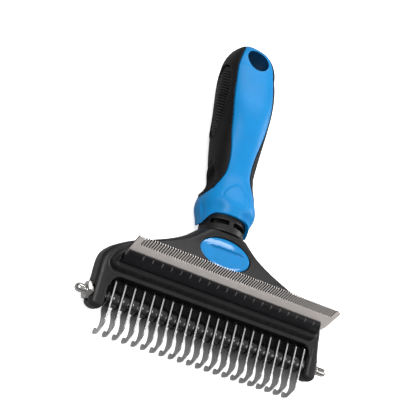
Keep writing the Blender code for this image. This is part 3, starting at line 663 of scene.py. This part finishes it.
def frame_sections():
    top_y, top_z = tool_to_head(NECK_TOP, -0.1)
    rows = (
        (MOUTH_TOP, 0.0, 5.0, 58.3, 2.2, 0.0),
        (14.5, 0.0, 5.0, 58.3, 2.4, 0.0),
        (18.2, 0.0, 5.0, 57.6, 2.8, 0.0),
        (21.5, -0.15, 5.1, 55.2, 3.2, 0.0),
        (24.5, -0.5, 5.0, 51.0, 3.4, 0.0),
        (27.5, -1.2, 4.9, 45.5, 3.6, -1.0),
        (31.0, -3.0, 4.9, 37.0, 3.8, -3.0),
        (35.4, -5.6, 5.5, 27.4, 4.6, -5.0),
        (40.0, -9.0, 7.3, 19.4, 6.0, -8.0),
        (top_y, top_z, 9.0, 13.0, 7.5, -CANT),
    )
    return [
        rounded_ring((0.0, y, z), wide, deep, radius, tilt)
        for y, z, deep, wide, radius, tilt in smooth_between(rows, 8)
    ]


def build_arm(side):
    """One arm, from inside the bar down to its rounded lobe."""
    half = (ARM_OUT - ARM_IN) / 2
    lobe = []
    for a in np.linspace(1.5, 0.15, 9):
        lobe.append((LOBE_BOTTOM + 3.0 * (1 - math.sin(a)), 3.0 * (1 - math.cos(a))))
    rings = []
    for y, inset in [(14.0, 0.4), (10.0, 0.0), (LOBE_BOTTOM + 3.0, 0.0)] + lobe[::-1]:
        wide, deep = half - inset, ARM_HALF_DEPTH - inset
        rings.append(rounded_ring((side * (ARM_IN + half), y, 0.0), wide, deep, min(2.2, wide - 0.05)))
    return loft("arm", rings, HEAD)


def build_fillet(side):
    round_off = arc((ARM_IN - MOUTH_FILLET, MOUTH_TOP - MOUTH_FILLET), MOUTH_FILLET, 0, 90, 16)
    outline = [(ARM_IN + 1.0, 4.0)] + round_off + [(ARM_IN - MOUTH_FILLET, 10.4), (ARM_IN + 1.0, 10.4)]
    deep = ARM_HALF_DEPTH - 0.25
    return plate("fillet", [(side * x, y) for x, y in outline], -deep, deep, HEAD)


def build_pedestal():
    """The raised bed under the clamp bar, with its ends rounded off."""
    lip = comb_to_head(COMB_FOOT_U - GAP - 0.6, CLAMP_FACE + 0.2)
    inner_lip = comb_to_head(COMB_FOOT_U + 0.4, CLAMP_FACE + 0.15)
    back = comb_to_head(-0.4, COMB_BACK + 0.2)
    profile = [(3.0, 10.4), (9.0, 12.3), (9.7, 13.2), lip, inner_lip, back, (5.6, 22.4), (3.0, 24.6)]
    anchor = Vector((3.0, 16.5))
    straight = PEDESTAL_HALF - PEDESTAL_ROUND
    ends = [(straight + PEDESTAL_ROUND * math.sin(a), math.cos(a)) for a in np.linspace(1.35, 0.0, 12)]
    rings = []
    for x, size in [(-x, size) for x, size in ends] + ends[::-1]:
        ring = []
        for z, y in profile:
            spot = anchor + (Vector((z, y)) - anchor) * (0.35 + 0.65 * size)
            # The upper corners of the bed come in under the frame's shoulders.
            pull = 0.6 * max(spot.y - 15.5, 0.0) + (PEDESTAL_RIGHT_CUT if x > 0 else 0.0)
            ring.append((x - math.copysign(pull, x), spot.y, spot.x))
        rings.append(ring)
    return loft("pedestal", rings, HEAD)


def lean_in(co):
    """The bar's right end slopes inwards to its front edge; the left arm stands a little wider."""
    x, y, z = co.T
    front = (1 - ease(y, 20.0, 27.0)) * ease(z, -4.0, 4.0)
    right = ease(x, 52.6, 58.0) * ease(y, 0.0, 10.5) * front
    top = ease(x, 50.0, 56.0) * ease(y, 8.0, 13.0) * front
    left = ease(-x, 54.5, 58.0) * (1 - ease(y, 14.0, 24.0))
    move = np.zeros_like(co)
    move[:, 0] = -LEAN_RIGHT * right - LEAN_TOP * top - SPREAD_LEFT * left
    return move


def in_mouth(x, y, z):
    """The walls of the mouth that the blades stand in, painted darker as shade."""
    half, top, back, front = MOUTH_PAINT
    return (abs(x) < half) & (y < top) & (z > back) & (z < front)


def build_frame():
    head = loft("head", frame_sections(), HEAD)
    added = [build_arm(-1), build_arm(1), build_fillet(-1), build_fillet(1), build_pedestal()]
    wide = ARM_IN + 1.5
    sheet = [(-wide, CURTAIN_LOW), (wide, CURTAIN_LOW), (wide, 11.0), (-wide, 11.0)]
    added.append(plate("curtain", sheet, CURTAIN_BACK, CURTAIN_BACK + CURTAIN_THICK, HEAD))
    tang = [(x * TANG_HALF_WIDE, z * TANG_HALF_DEEP) for x, z in ((-1, -1), (1, -1), (1, 1), (-1, 1))]
    added.append(plate("tang", tang, NECK_TOP - 3.0, TANG_END, TOOL, None, (0, 2, 1)))
    combine(head, added, "UNION")

    low, shelf = COMB_FOOT_U - GAP, COMB_BACK - GAP
    seat = [comb_to_head(u, w) for u, w in ((low, shelf), (4.0, shelf), (4.0, 7.0), (low, 7.0))]
    half = COMB_HALF + GAP
    cuts = [plate("seat", seat, -half, half, HEAD, None, (2, 1, 0))]
    cuts.append(plate("pocket", oval(BUTTON_HALF_X + GAP, BUTTON_HALF_Y + GAP), POCKET_FLOOR, 8.0, PRESS))
    reach = SPRING_R + WIRE_R + GAP
    cuts.append(plate("spring_bore", oval(reach, reach, 48), SPRING_LOW, POCKET_FLOOR + 1.0, PRESS))
    cuts.append(loft("rod_bore", lathe([(-70.0, BORE_R), (70.0, BORE_R)]), HEAD))
    corner = (NUT_FLATS / 2 + GAP) / math.cos(math.radians(30))
    for side, face in ((-1, LEFT_NUT_FACE), (1, RIGHT_NUT_FACE)):
        span = sorted((side * (face - NUT_THICK - GAP), side * 70.0))
        cuts.append(plate("nut_pocket", arc((0.0, 0.0), corner, 0, 300, 5), *span, HEAD, None, (1, 2, 0)))
    combine(head, cuts)
    remesh(head, 0.33, 4)
    shift(head, HEAD, lean_in)
    piece(head, FRAME_BLACK, "rake", "frame_black", "head_frame")
    # Painted shade: the mouth walls take a darker, duller black.
    paint(head, HEAD, PAINTED_SHADE_BLACK, in_mouth)


# Comb blade and clamp bar


def comb_outline():
    edge = [(-COMB_HALF + 1.2, COMB_FOOT_U), (-COMB_HALF, COMB_FOOT_U + 5.0)]
    edge += arc((-COMB_HALF + 0.7, TOOTH_TIP - 0.7), 0.7, 180, 90, 6)
    half = SLOT_WIDE / 2
    for index in range(SLOTS):
        x = (index - (SLOTS - 1) / 2) * SLOT_PITCH
        edge += [(x - half - 0.14, TOOTH_TIP), (x - half, TOOTH_TIP - 0.55)]
        edge += arc((x, SLOT_ROOT + half), half, 180, 360, 6)
        edge += [(x + half, TOOTH_TIP - 0.55), (x + half + 0.14, TOOTH_TIP)]
    edge += arc((COMB_HALF - 1.9, TOOTH_TIP - 1.9), 1.9, 90, 0, 8)
    edge += [(COMB_HALF, COMB_FOOT_U + 5.0), (COMB_HALF - 1.2, COMB_FOOT_U)]
    return edge


def build_comb():
    comb = plate("comb", comb_outline(), COMB_BACK, COMB_FACE, COMB)
    bevel(comb, 0.05, 1, 60)
    comb.data.set_sharp_from_angle(angle=math.radians(20))
    piece(comb, COMB_STEEL, "rake", "comb_steel", "comb_blade")
    build_clamp()


def clamp_end(side, u):
    """Where the clamp bar ends, which narrows towards its upper edge."""
    low, high = CLAMP_LEFT if side < 0 else CLAMP_RIGHT
    return side * (low + (high - low) * (u - COMB_FOOT_U) / (CLAMP_TOP - COMB_FOOT_U))


def build_clamp():
    """The bar, with a chamfer along its upper edge that carries a row of short marks."""
    under = COMB_FACE + GAP
    profile = [(COMB_FOOT_U, under), (CLAMP_TOP, under), (CLAMP_TOP, under + 0.25),
               (CLAMP_TOP - 1.2, CLAMP_FACE), (COMB_FOOT_U, CLAMP_FACE)]
    rings = []
    for side, fall in ((-1, 0.0), (1, CLAMP_FALL)):
        rings.append([(clamp_end(side, u), u - fall * (u > COMB_FOOT_U), w) for u, w in profile])
    bar = loft("clamp_bar", rings, COMB)
    bevel(bar, 0.28, 4, 20)
    bar.data.set_sharp_from_angle(angle=math.radians(17))
    piece(bar, CLAMP_BLACK, "rake", "clamp_gloss", "comb_clamp")
    build_marks(under)


def build_marks(under):
    """Short plain strokes over the bar's chamfer, one for each gap between blades but the last."""
    verts, faces = [], []
    path = [(CLAMP_TOP - 0.12, under + 0.42), (CLAMP_TOP - 0.62, under + 0.9),
            (CLAMP_TOP - 1.15, CLAMP_FACE), (CLAMP_TOP - 1.9, CLAMP_FACE)]
    for index in range(BLADES - 2):
        x = (index - (BLADES - 3) / 2) * PITCH
        fall = CLAMP_FALL * (x + CLAMP_LEFT[1]) / (CLAMP_LEFT[1] + CLAMP_RIGHT[1])
        start = len(verts)
        for step, (u, w) in enumerate(path):
            lift = MARK_PROUD if 0 < step < len(path) - 1 else 0.01
            for side, rise in ((-1, -MARK_SUNK), (1, -MARK_SUNK), (1, lift), (-1, lift)):
                verts.append((x + side * MARK_HALF, u - fall + rise * 0.6, w + rise))
        for row in range(len(path) - 1):
            a = start + row * 4
            faces += [[a + k, a + (k + 1) % 4, a + 4 + (k + 1) % 4, a + 4 + k] for k in range(4)]
        last = start + 4 * (len(path) - 1)
        faces += [[start, start + 1, start + 2, start + 3], [last, last + 1, last + 2, last + 3]]
    marks = bevel(solid("clamp_marks", verts, faces, COMB), 0.03, 2)
    piece(marks, MARK_GREY, "rake", "clamp_gloss")


# Button and spring


def button_height(x, y):
    """Top of the button: a dome with a crease across it and a flatter, lower part below."""
    r = np.sqrt((x / BUTTON_HALF_X) ** 2 + (y / BUTTON_HALF_Y) ** 2)
    dome = BUTTON_RIM + 0.35 + (BUTTON_CROWN - BUTTON_RIM - 0.45) * (1 - np.clip(r, 0, 1) ** 3.0)
    below = CREASE_Y + 0.02 * x - 0.014 * np.maximum(-x - 3.0, 0.0) ** 2 - y
    reach = ease(x, -11.0, -6.5) * (1 - ease(x, 8.4, 11.0))
    step = -CREASE_DROP * ease(below, 0.0, 0.9) * (1 - ease(r, 0.72, 1.0)) * reach
    ridge = CREASE_RIDGE * bell_curve(below, CREASE_THIN) * reach
    return dome + step + ridge


def build_button():
    sides, rows = 220, 64
    turns = np.linspace(0, math.tau, sides, endpoint=False)
    rings = []
    for share in np.linspace(0.01, 1.0, rows) ** 0.85:
        x = (BUTTON_HALF_X - 0.45) * share * np.cos(turns)
        y = (BUTTON_HALF_Y - 0.45) * share * np.sin(turns)
        rings.append(np.stack([x, y, button_height(x, y)], 1))
    rim = rings[-1][:, 2]
    for inset, drop in ((0.3, 0.04), (0.15, 0.14), (0.05, 0.32), (0.0, 0.6)):
        x, y = (BUTTON_HALF_X - inset) * np.cos(turns), (BUTTON_HALF_Y - inset) * np.sin(turns)
        rings.append(np.stack([x, y, rim - drop], 1))
    for inset, z in ((0.0, BUTTON_UNDER + 0.4), (0.12, BUTTON_UNDER + 0.12), (0.4, BUTTON_UNDER)):
        x, y = (BUTTON_HALF_X - inset) * np.cos(turns), (BUTTON_HALF_Y - inset) * np.sin(turns)
        rings.append(np.stack([x, y, np.full(sides, z)], 1))
    cap = loft("button_cap", [[tuple(p) for p in ring] for ring in rings], PRESS, smooth=70)
    reach = SPRING_R + WIRE_R + GAP
    combine(cap, [plate("well", oval(reach, reach, 48), BUTTON_UNDER - 1.0, SPRING_HIGH, PRESS)])
    cap.data.set_sharp_from_angle(angle=math.radians(70))
    piece(cap, BUTTON_BLUE, "button", "button_blue", "button")
    build_spring()


def build_spring():
    """The return spring as the CAD draws it."""
    made = bpy.data.objects.new("return_spring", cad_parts["button_spring"].data.copy())
    bpy.context.scene.collection.objects.link(made)
    made.data.materials.clear()
    out = PRESS.to_3x3().col[2]
    heights = (points(made.data) - np.array(PRESS.translation)) @ np.array(out)
    piece(made, SPRING_WIRE, "rake", "spring_wire", "button_spring")
    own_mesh(made)


# Handle


SIZES = np.array(smooth_between(STATIONS, 4))


def handle_size(y):
    """Half width, front height and back depth of the handle at a station."""
    reach = min(max((y - CAP_START) / (HANDLE_END - CAP_START), 0.0), 1.0)
    y = min(max(y, STATIONS[0][0]), CAP_START)
    round_off = math.sqrt(1.0 - reach * reach)
    return [float(np.interp(y, SIZES[:, 0], SIZES[:, k])) * round_off for k in (1, 2, 3)]


def flank_share(y):
    return min(max((y - SQUARE_FROM) / (SQUARE_TO - SQUARE_FROM), 0.0), 1.0)


def handle_ring(y, inset, sides=144):
    wide, front, back = (max(size - inset, 0.35) for size in handle_size(y))
    share = flank_share(y)
    ring = []
    for i in range(sides):
        turn = math.tau * (i + 0.5) / sides
        c, s = math.cos(turn), math.sin(turn)
        power = 2.0 / (ROUNDNESS + (SQUARER - ROUNDNESS) * share if s > 0 else ROUNDNESS)
        x = math.copysign(abs(c) ** power, c) * wide
        if s > 0:
            x *= 1.0 - 0.05 * share * math.sin(math.pi * abs(s) ** power)
        ring.append((x, y, math.copysign(abs(s) ** power, s) * (front if s > 0 else back)))
    return ring


def handle_loft(name, inset, start):
    """The handle's outer skin moved inwards, as a solid from start to the rounded end."""
    rows = 72
    spots = [start + (CAP_START - start) * i / rows for i in range(rows)]
    end = HANDLE_END - inset
    spots += [CAP_START + (end - CAP_START) * math.sin(math.radians(a)) for a in np.linspace(0, 88, 24)]
    shrink = (HANDLE_END - CAP_START) / (end - CAP_START)
    rings = []
    for y in spots:
        source = y if y < CAP_START else CAP_START + (y - CAP_START) * shrink
        rings.append([(x, y, z) for x, _, z in handle_ring(source, inset)])
    return loft(name, rings, TOOL)


def panel_prism(offset):
    """The front panel's outline through the skin, reaching lower round the handle's end."""
    right = [(x + offset, y) for y, x in smooth_between(PANEL_EDGE, 8)]
    left = [(-x, y) for x, y in right[::-1]]

    def floor(_, y):
        return PANEL_FLOOR + (END_FLOOR - PANEL_FLOOR) * min(max((y - FLOOR_FROM) / FLOOR_LONG, 0.0), 1.0)

    return plate("panel_prism", right + left, floor, 20.0, TOOL)


def guard_prism(offset):
    line = [(z, y + offset) for z, y in smooth_between(GUARD_LINE, 6)]
    return plate("guard_prism", [(-18.0, 40.0)] + line + [(18.0, 40.0)], -20.0, 20.0, TOOL, None, (2, 1, 0))


def tube_post(radius, low, high):
    ring = [(x, HOLE_Y + y) for x, y in oval(radius, radius, 80)]
    return loft("tube_post", [[(x, y, z) for x, y in ring] for z in (low, high)], TOOL)


def pad_outline(grow, steps=120):
    turn = Matrix.Rotation(math.radians(PAD_TURN), 2)
    spots = [turn @ Vector(p) for p in oval(PAD_LONG + grow, PAD_WIDE + grow, steps)]
    return [(PAD_Y + p.x, PAD_Z + p.y) for p in spots]


def skirt_arch(x):
    return SKIRT_HIGH - SKIRT_DROP * min(abs(x) / SKIRT_HALF, 1.02) ** 8


def shape_blue(co, normals):
    """The arch groove and the two hollows over the rim."""
    x, y, z = co.T
    outer = (z > 2.0) & (x * normals[:, 0] + z * normals[:, 2] > 0.35 * np.hypot(x, z))
    groove = -ARCH_DEEP * bell_curve(to_line(x, y, smooth_between(ARCH, 4)), 0.42)
    left = bell_curve(x + 10.4, 4.4) * bell_curve(y - 57.0, 3.8)
    right = bell_curve(x - 6.6, 3.6) * bell_curve(y - 55.2, 3.2)
    rise = groove - HOLLOW_DEEP * left - HOLLOW_DEEP * right
    return np.where(outer, rise, 0.0)


def scoop_place(y, z):
    """Which points lie in a finger scoop's outline, and how far each is from it."""
    edge = smooth_between(SCOOP_EDGE + SCOOP_EDGE[:1], 5)
    return within(y, z, edge), to_line(y, z, edge)


def shape_grip(co, normals):
    """A raised bead round each pad, and each finger scoop with its ridge."""
    x, y, z = co.T
    ring = pad_outline(GAP + 0.75, 90)
    bead = BEAD_HIGH * bell_curve(to_line(y, z, ring + ring[:1]), 0.5)
    side = np.abs(normals[:, 0]) > 0.45
    outer = np.hypot(x, z) > 9.0
    rise = np.where(side & outer & (y > 94.0) & (y < 140.0), bead, 0.0)
    inside, away = scoop_place(y, z)
    hollow = -SCOOP_DEEP * ease(away, 0.0, 1.5)
    ridge = SCOOP_RIDGE * bell_curve(away - 0.5, 0.55)
    near = (np.abs(x) > SCOOP_INSIDE) & (y < 86.0) & (x * normals[:, 0] > 0)
    return rise + np.where(near, np.where(inside, hollow, ridge), 0.0)


def in_hole(x, y, z):
    """The wall of the hanging hole, from just under its edge, painted a darker blue as shade."""
    return (np.hypot(x, y - HOLE_Y) < HOLE_R + 0.12) & (np.abs(z) < 30.0)


def in_scoop(x, y, z):
    """The floor of each finger scoop, painted darker as shade."""
    inside, away = scoop_place(y, z)
    return inside & (away > 0.7) & (np.abs(x) > SCOOP_INSIDE)


def build_handle():
    """The blue core with its panel, bell and hole, and then the grip round it."""
    shell = handle_loft("shell", 0.0, 44.0)
    keep = panel_prism(-GAP / 2)
    combine(keep, [guard_prism(-GAP / 2), tube_post(TUBE_R, -20.0, 8.0)], "UNION")
    combine(shell, [keep], "INTERSECT")
    core = handle_loft("blue_core", SKIN + GAP, 57.0)
    combine(core, [shell], "UNION")
    arch = [(-15.0 + 0.25 * i, skirt_arch(-15.0 + 0.25 * i)) for i in range(121)]
    cuts = [plate("arch", [(-15.0, 30.0)] + arch + [(15.0, 30.0)], -20.0, 20.0, TOOL)]
    bell = oval(COLLAR_HALF_X + GAP, COLLAR_HALF_Z + GAP)
    cuts.append(plate("bell", bell, 40.0, COLLAR_HIGH + GAP, TOOL, None, (0, 2, 1)))
    x, z = TANG_HALF_WIDE + GAP, TANG_HALF_DEEP + GAP
    socket = [(-x, -z), (x, -z), (x, z), (-x, z)]
    cuts.append(plate("socket", socket, 50.0, TANG_END + 1.0, TOOL, None, (0, 2, 1)))
    cuts.append(tube_post(HOLE_R, -25.0, 25.0))
    combine(core, cuts)
    remesh(core, 0.3, 3)
    sculpt(core, TOOL, shape_blue)
    piece(core, BLUE, "rake", "handle_blue", "handle_core")
    # Painted shade: the hole's wall takes a darker blue.
    paint(core, TOOL, HOLE_SHADE_BLUE, in_hole)
    build_grip()


def build_grip():
    """The soft skin round the core, with a recess for each pad, and the pads."""
    grip = handle_loft("soft_grip", 0.0, 60.0)
    cuts = [handle_loft("inside", SKIN, 50.0), panel_prism(GAP / 2), guard_prism(GAP / 2)]
    cuts.append(tube_post(TUBE_R + GAP, -25.0, 25.0))
    for side in (-1, 1):
        low, high = sorted((side * 6.0, side * 20.0))
        recess = plate("recess", pad_outline(GAP), low, high, TOOL, None, (1, 2, 0))
        cuts.append(combine(recess, [handle_loft("recess_floor", PAD_BACK + GAP, 80.0)]))
        rings = []
        for a in range(-84, 85, 6):
            size, y = math.cos(math.radians(a)), SCOOP_RADII[1] * math.sin(math.radians(a))
            x = side * (SCOOP_X + SCOOP_LEAN * y)
            ring = oval(SCOOP_RADII[0] * size, SCOOP_RADII[2] * size, 60)
            rings.append([(x + p, SCOOP_Y + y, SCOOP_Z + q) for p, q in ring])
        cuts.append(loft("scoop", rings, TOOL))
    combine(grip, cuts)
    remesh(grip, 0.3, 3)
    sculpt(grip, TOOL, shape_grip)
    piece(grip, SOFT_BLACK, "rake", "soft_grip", "handle_grip")
    # Painted shade: the scoop floors take the darker black.
    paint(grip, TOOL, PAINTED_SHADE_BLACK, in_scoop)
    for side, name in ((-1, "left"), (1, "right")):
        build_pad(side, name)


def skin_x(y, z, inset):
    """Half width of the handle at a height, this far under the skin."""
    wide, front, back = (size - inset for size in handle_size(y))
    share = flank_share(y) if z > 0 else 0.0
    power = 2.0 / (ROUNDNESS + (SQUARER - ROUNDNESS) * share)
    t = min(abs(z) / (front if z > 0 else back), 0.999)
    c = math.sqrt(1 - t ** (2 / power))
    return c**power * wide * (1.0 - 0.05 * share * math.sin(math.pi * t))


def build_pad(side, name):
    """A ribbed insert: slanted wavy ribs that fade out at the rim."""
    sides, rows = 300, 96
    turn = Matrix.Rotation(math.radians(PAD_TURN), 2)

    def ring(share, depth, ribs):
        found = []
        for i in range(sides):
            t = math.tau * i / sides
            a, b = PAD_LONG * share * math.cos(t), PAD_WIDE * share * math.sin(t)
            spot = turn @ Vector((a, b))
            y, z = PAD_Y + spot.x, PAD_Z + spot.y
            wave = math.sin(math.tau * (a + 0.3 * b + 0.02 * b * b) / RIB_PITCH)
            edge = min((1 - share) * 9.0, 1.0)
            lift = ribs * edge * (RIB_HIGH * wave)
            found.append((side * (skin_x(y, z, depth) + lift), y, z))
        return found

    rings = [ring(0.01, PAD_BACK, 0)] + [ring(s, PAD_BACK, 0) for s in (0.3, 0.6, 0.9, 0.985, 1.0)]
    rings += [ring(1.0, PAD_FACE + 0.35, 0), ring(0.992, PAD_FACE + 0.12, 0)]
    rings += [ring(s, PAD_FACE, 1) for s in np.linspace(0.975, 0.01, rows)]
    pad = loft(f"rib_pad_{name}", rings, TOOL, smooth=80)
    piece(pad, RIB_BLACK, "rake", "ribbed_pad", f"grip_pad_{name}")


def build_collar():
    """The windowed ring between the neck and the handle."""
    edge = ((0.7, 0.0), (0.3, 0.12), (0.08, 0.35), (0.0, 0.7))
    levels = [(inset, COLLAR_LOW + rise) for inset, rise in edge]
    levels += [(inset, COLLAR_HIGH - rise) for inset, rise in edge[::-1]]
    rings = []
    for inset, y in levels:
        ring = oval(COLLAR_HALF_X - inset, COLLAR_HALF_Z - inset, 120)
        rings.append([(x, y, z) for x, z in ring])
    collar = loft("collar", rings, TOOL)
    bore = oval(COLLAR_HALF_X - COLLAR_WALL, COLLAR_HALF_Z - COLLAR_WALL, 120)
    cuts = [plate("collar_bore", bore, COLLAR_LOW - 2.0, COLLAR_HIGH + 2.0, TOOL, None, (0, 2, 1))]
    for side in (-1, 1):
        low, high = sorted((side * WINDOW_IN, side * WINDOW_OUT))
        window = [(low, WINDOW_LOW), (high, WINDOW_LOW), (high, WINDOW_HIGH), (low, WINDOW_HIGH)]
        cuts.append(plate("window", window, -16.0, 16.0, TOOL))
    combine(collar, cuts)
    remesh(collar, 0.22, 2)
    piece(collar, FRAME_BLACK, "rake", "frame_black", "neck_collar")


# Studio


def shade_by_ray(tree, unseen, seen, output):
    """One shader for what the floor or sky gives the tool, another where it is seen itself."""
    ray = tree.nodes.new("ShaderNodeLightPath")
    mix = tree.nodes.new("ShaderNodeMixShader")
    tree.links.new(ray.outputs["Is Camera Ray"], mix.inputs[0])
    tree.links.new(unseen.outputs[0], mix.inputs[1])
    tree.links.new(seen.outputs[0], mix.inputs[2])
    tree.links.new(mix.outputs[0], tree.nodes[output].inputs["Surface"])


def floor_material():
    """Pale and plain, and softer in what it throws back at the tool."""
    made = bpy.data.materials.new("floor")
    made.use_nodes = True
    tree = made.node_tree
    tree.nodes.remove(tree.nodes["Principled BSDF"])
    bounce = tree.nodes.new("ShaderNodeBsdfDiffuse")
    bounce.inputs["Color"].default_value = (0.42, 0.42, 0.42, 1.0)
    seen = tree.nodes.new("ShaderNodeBsdfDiffuse")
    seen.inputs["Color"].default_value = (0.95, 0.95, 0.95, 1.0)
    glow = tree.nodes.new("ShaderNodeEmission")
    glow.inputs["Strength"].default_value = 0.7
    both = tree.nodes.new("ShaderNodeAddShader")
    tree.links.new(seen.outputs[0], both.inputs[0])
    tree.links.new(glow.outputs[0], both.inputs[1])
    shade_by_ray(tree, bounce, both, "Material Output")
    return made


def area_light(name, at, target, size, power):
    lamp = bpy.data.lights.new(name, "AREA")
    lamp.shape = "RECTANGLE"
    lamp.size, lamp.size_y = size
    lamp.energy = power
    made = bpy.data.objects.new(name, lamp)
    bpy.context.scene.collection.objects.link(made)
    made.location = at
    made.rotation_euler = (Vector(target) - Vector(at)).to_track_quat("-Z", "Y").to_euler()


def build_sky():
    """A plain dome, bright overhead and dim at the horizon for reflections, pale where it is seen."""
    world = bpy.data.worlds.new("studio")
    world.use_nodes = True
    tree = world.node_tree
    place = tree.nodes.new("ShaderNodeTexCoord")
    parts = tree.nodes.new("ShaderNodeSeparateXYZ")
    ramp = tree.nodes.new("ShaderNodeValToRGB")
    ramp.color_ramp.elements[0].position = 0.0
    ramp.color_ramp.elements[0].color = (0.04, 0.04, 0.042, 1.0)
    ramp.color_ramp.elements[1].position = 0.9
    ramp.color_ramp.elements[1].color = (1.0, 1.0, 1.0, 1.0)
    tree.links.new(place.outputs["Generated"], parts.inputs["Vector"])
    tree.links.new(parts.outputs["Z"], ramp.inputs["Fac"])
    back = tree.nodes["Background"]
    tree.links.new(ramp.outputs["Color"], back.inputs["Color"])
    back.inputs["Strength"].default_value = 0.52
    pale = tree.nodes.new("ShaderNodeBackground")
    pale.inputs["Color"].default_value = (0.96, 0.96, 0.96, 1.0)
    shade_by_ray(tree, back, pale, "World Output")
    bpy.context.scene.world = world


def build_studio():
    """Floor, sky, lights and camera."""
    corners = [(x * FLOOR_HALF, y * FLOOR_HALF, FLOOR_AT) for x, y in ((-1, -1), (1, -1), (1, 1), (-1, 1))]
    mesh = bpy.data.meshes.new("floor")
    mesh.from_pydata(corners, [], [(0, 1, 2, 3)])
    mesh.materials.append(floor_material())
    floor = bpy.data.objects.new("floor", mesh)
    bpy.context.scene.collection.objects.link(floor)
    build_sky()
    bpy.context.scene.view_settings.view_transform = "Standard"
    for light in LIGHTS:
        area_light(*light)
    lens = bpy.data.cameras.new("camera")
    lens.lens = CAMERA_LENS
    lens.sensor_width = 36.0
    lens.clip_start = 0.01
    camera = bpy.data.objects.new("camera", lens)
    bpy.context.scene.collection.objects.link(camera)
    camera.location = CAMERA_AT
    camera.rotation_euler = [math.radians(a) for a in CAMERA_TURN]
    bpy.context.scene.camera = camera


build_blades()
build_spacers()
build_rod()
build_frame()
build_comb()
build_button()
build_collar()
build_handle()
build_studio()
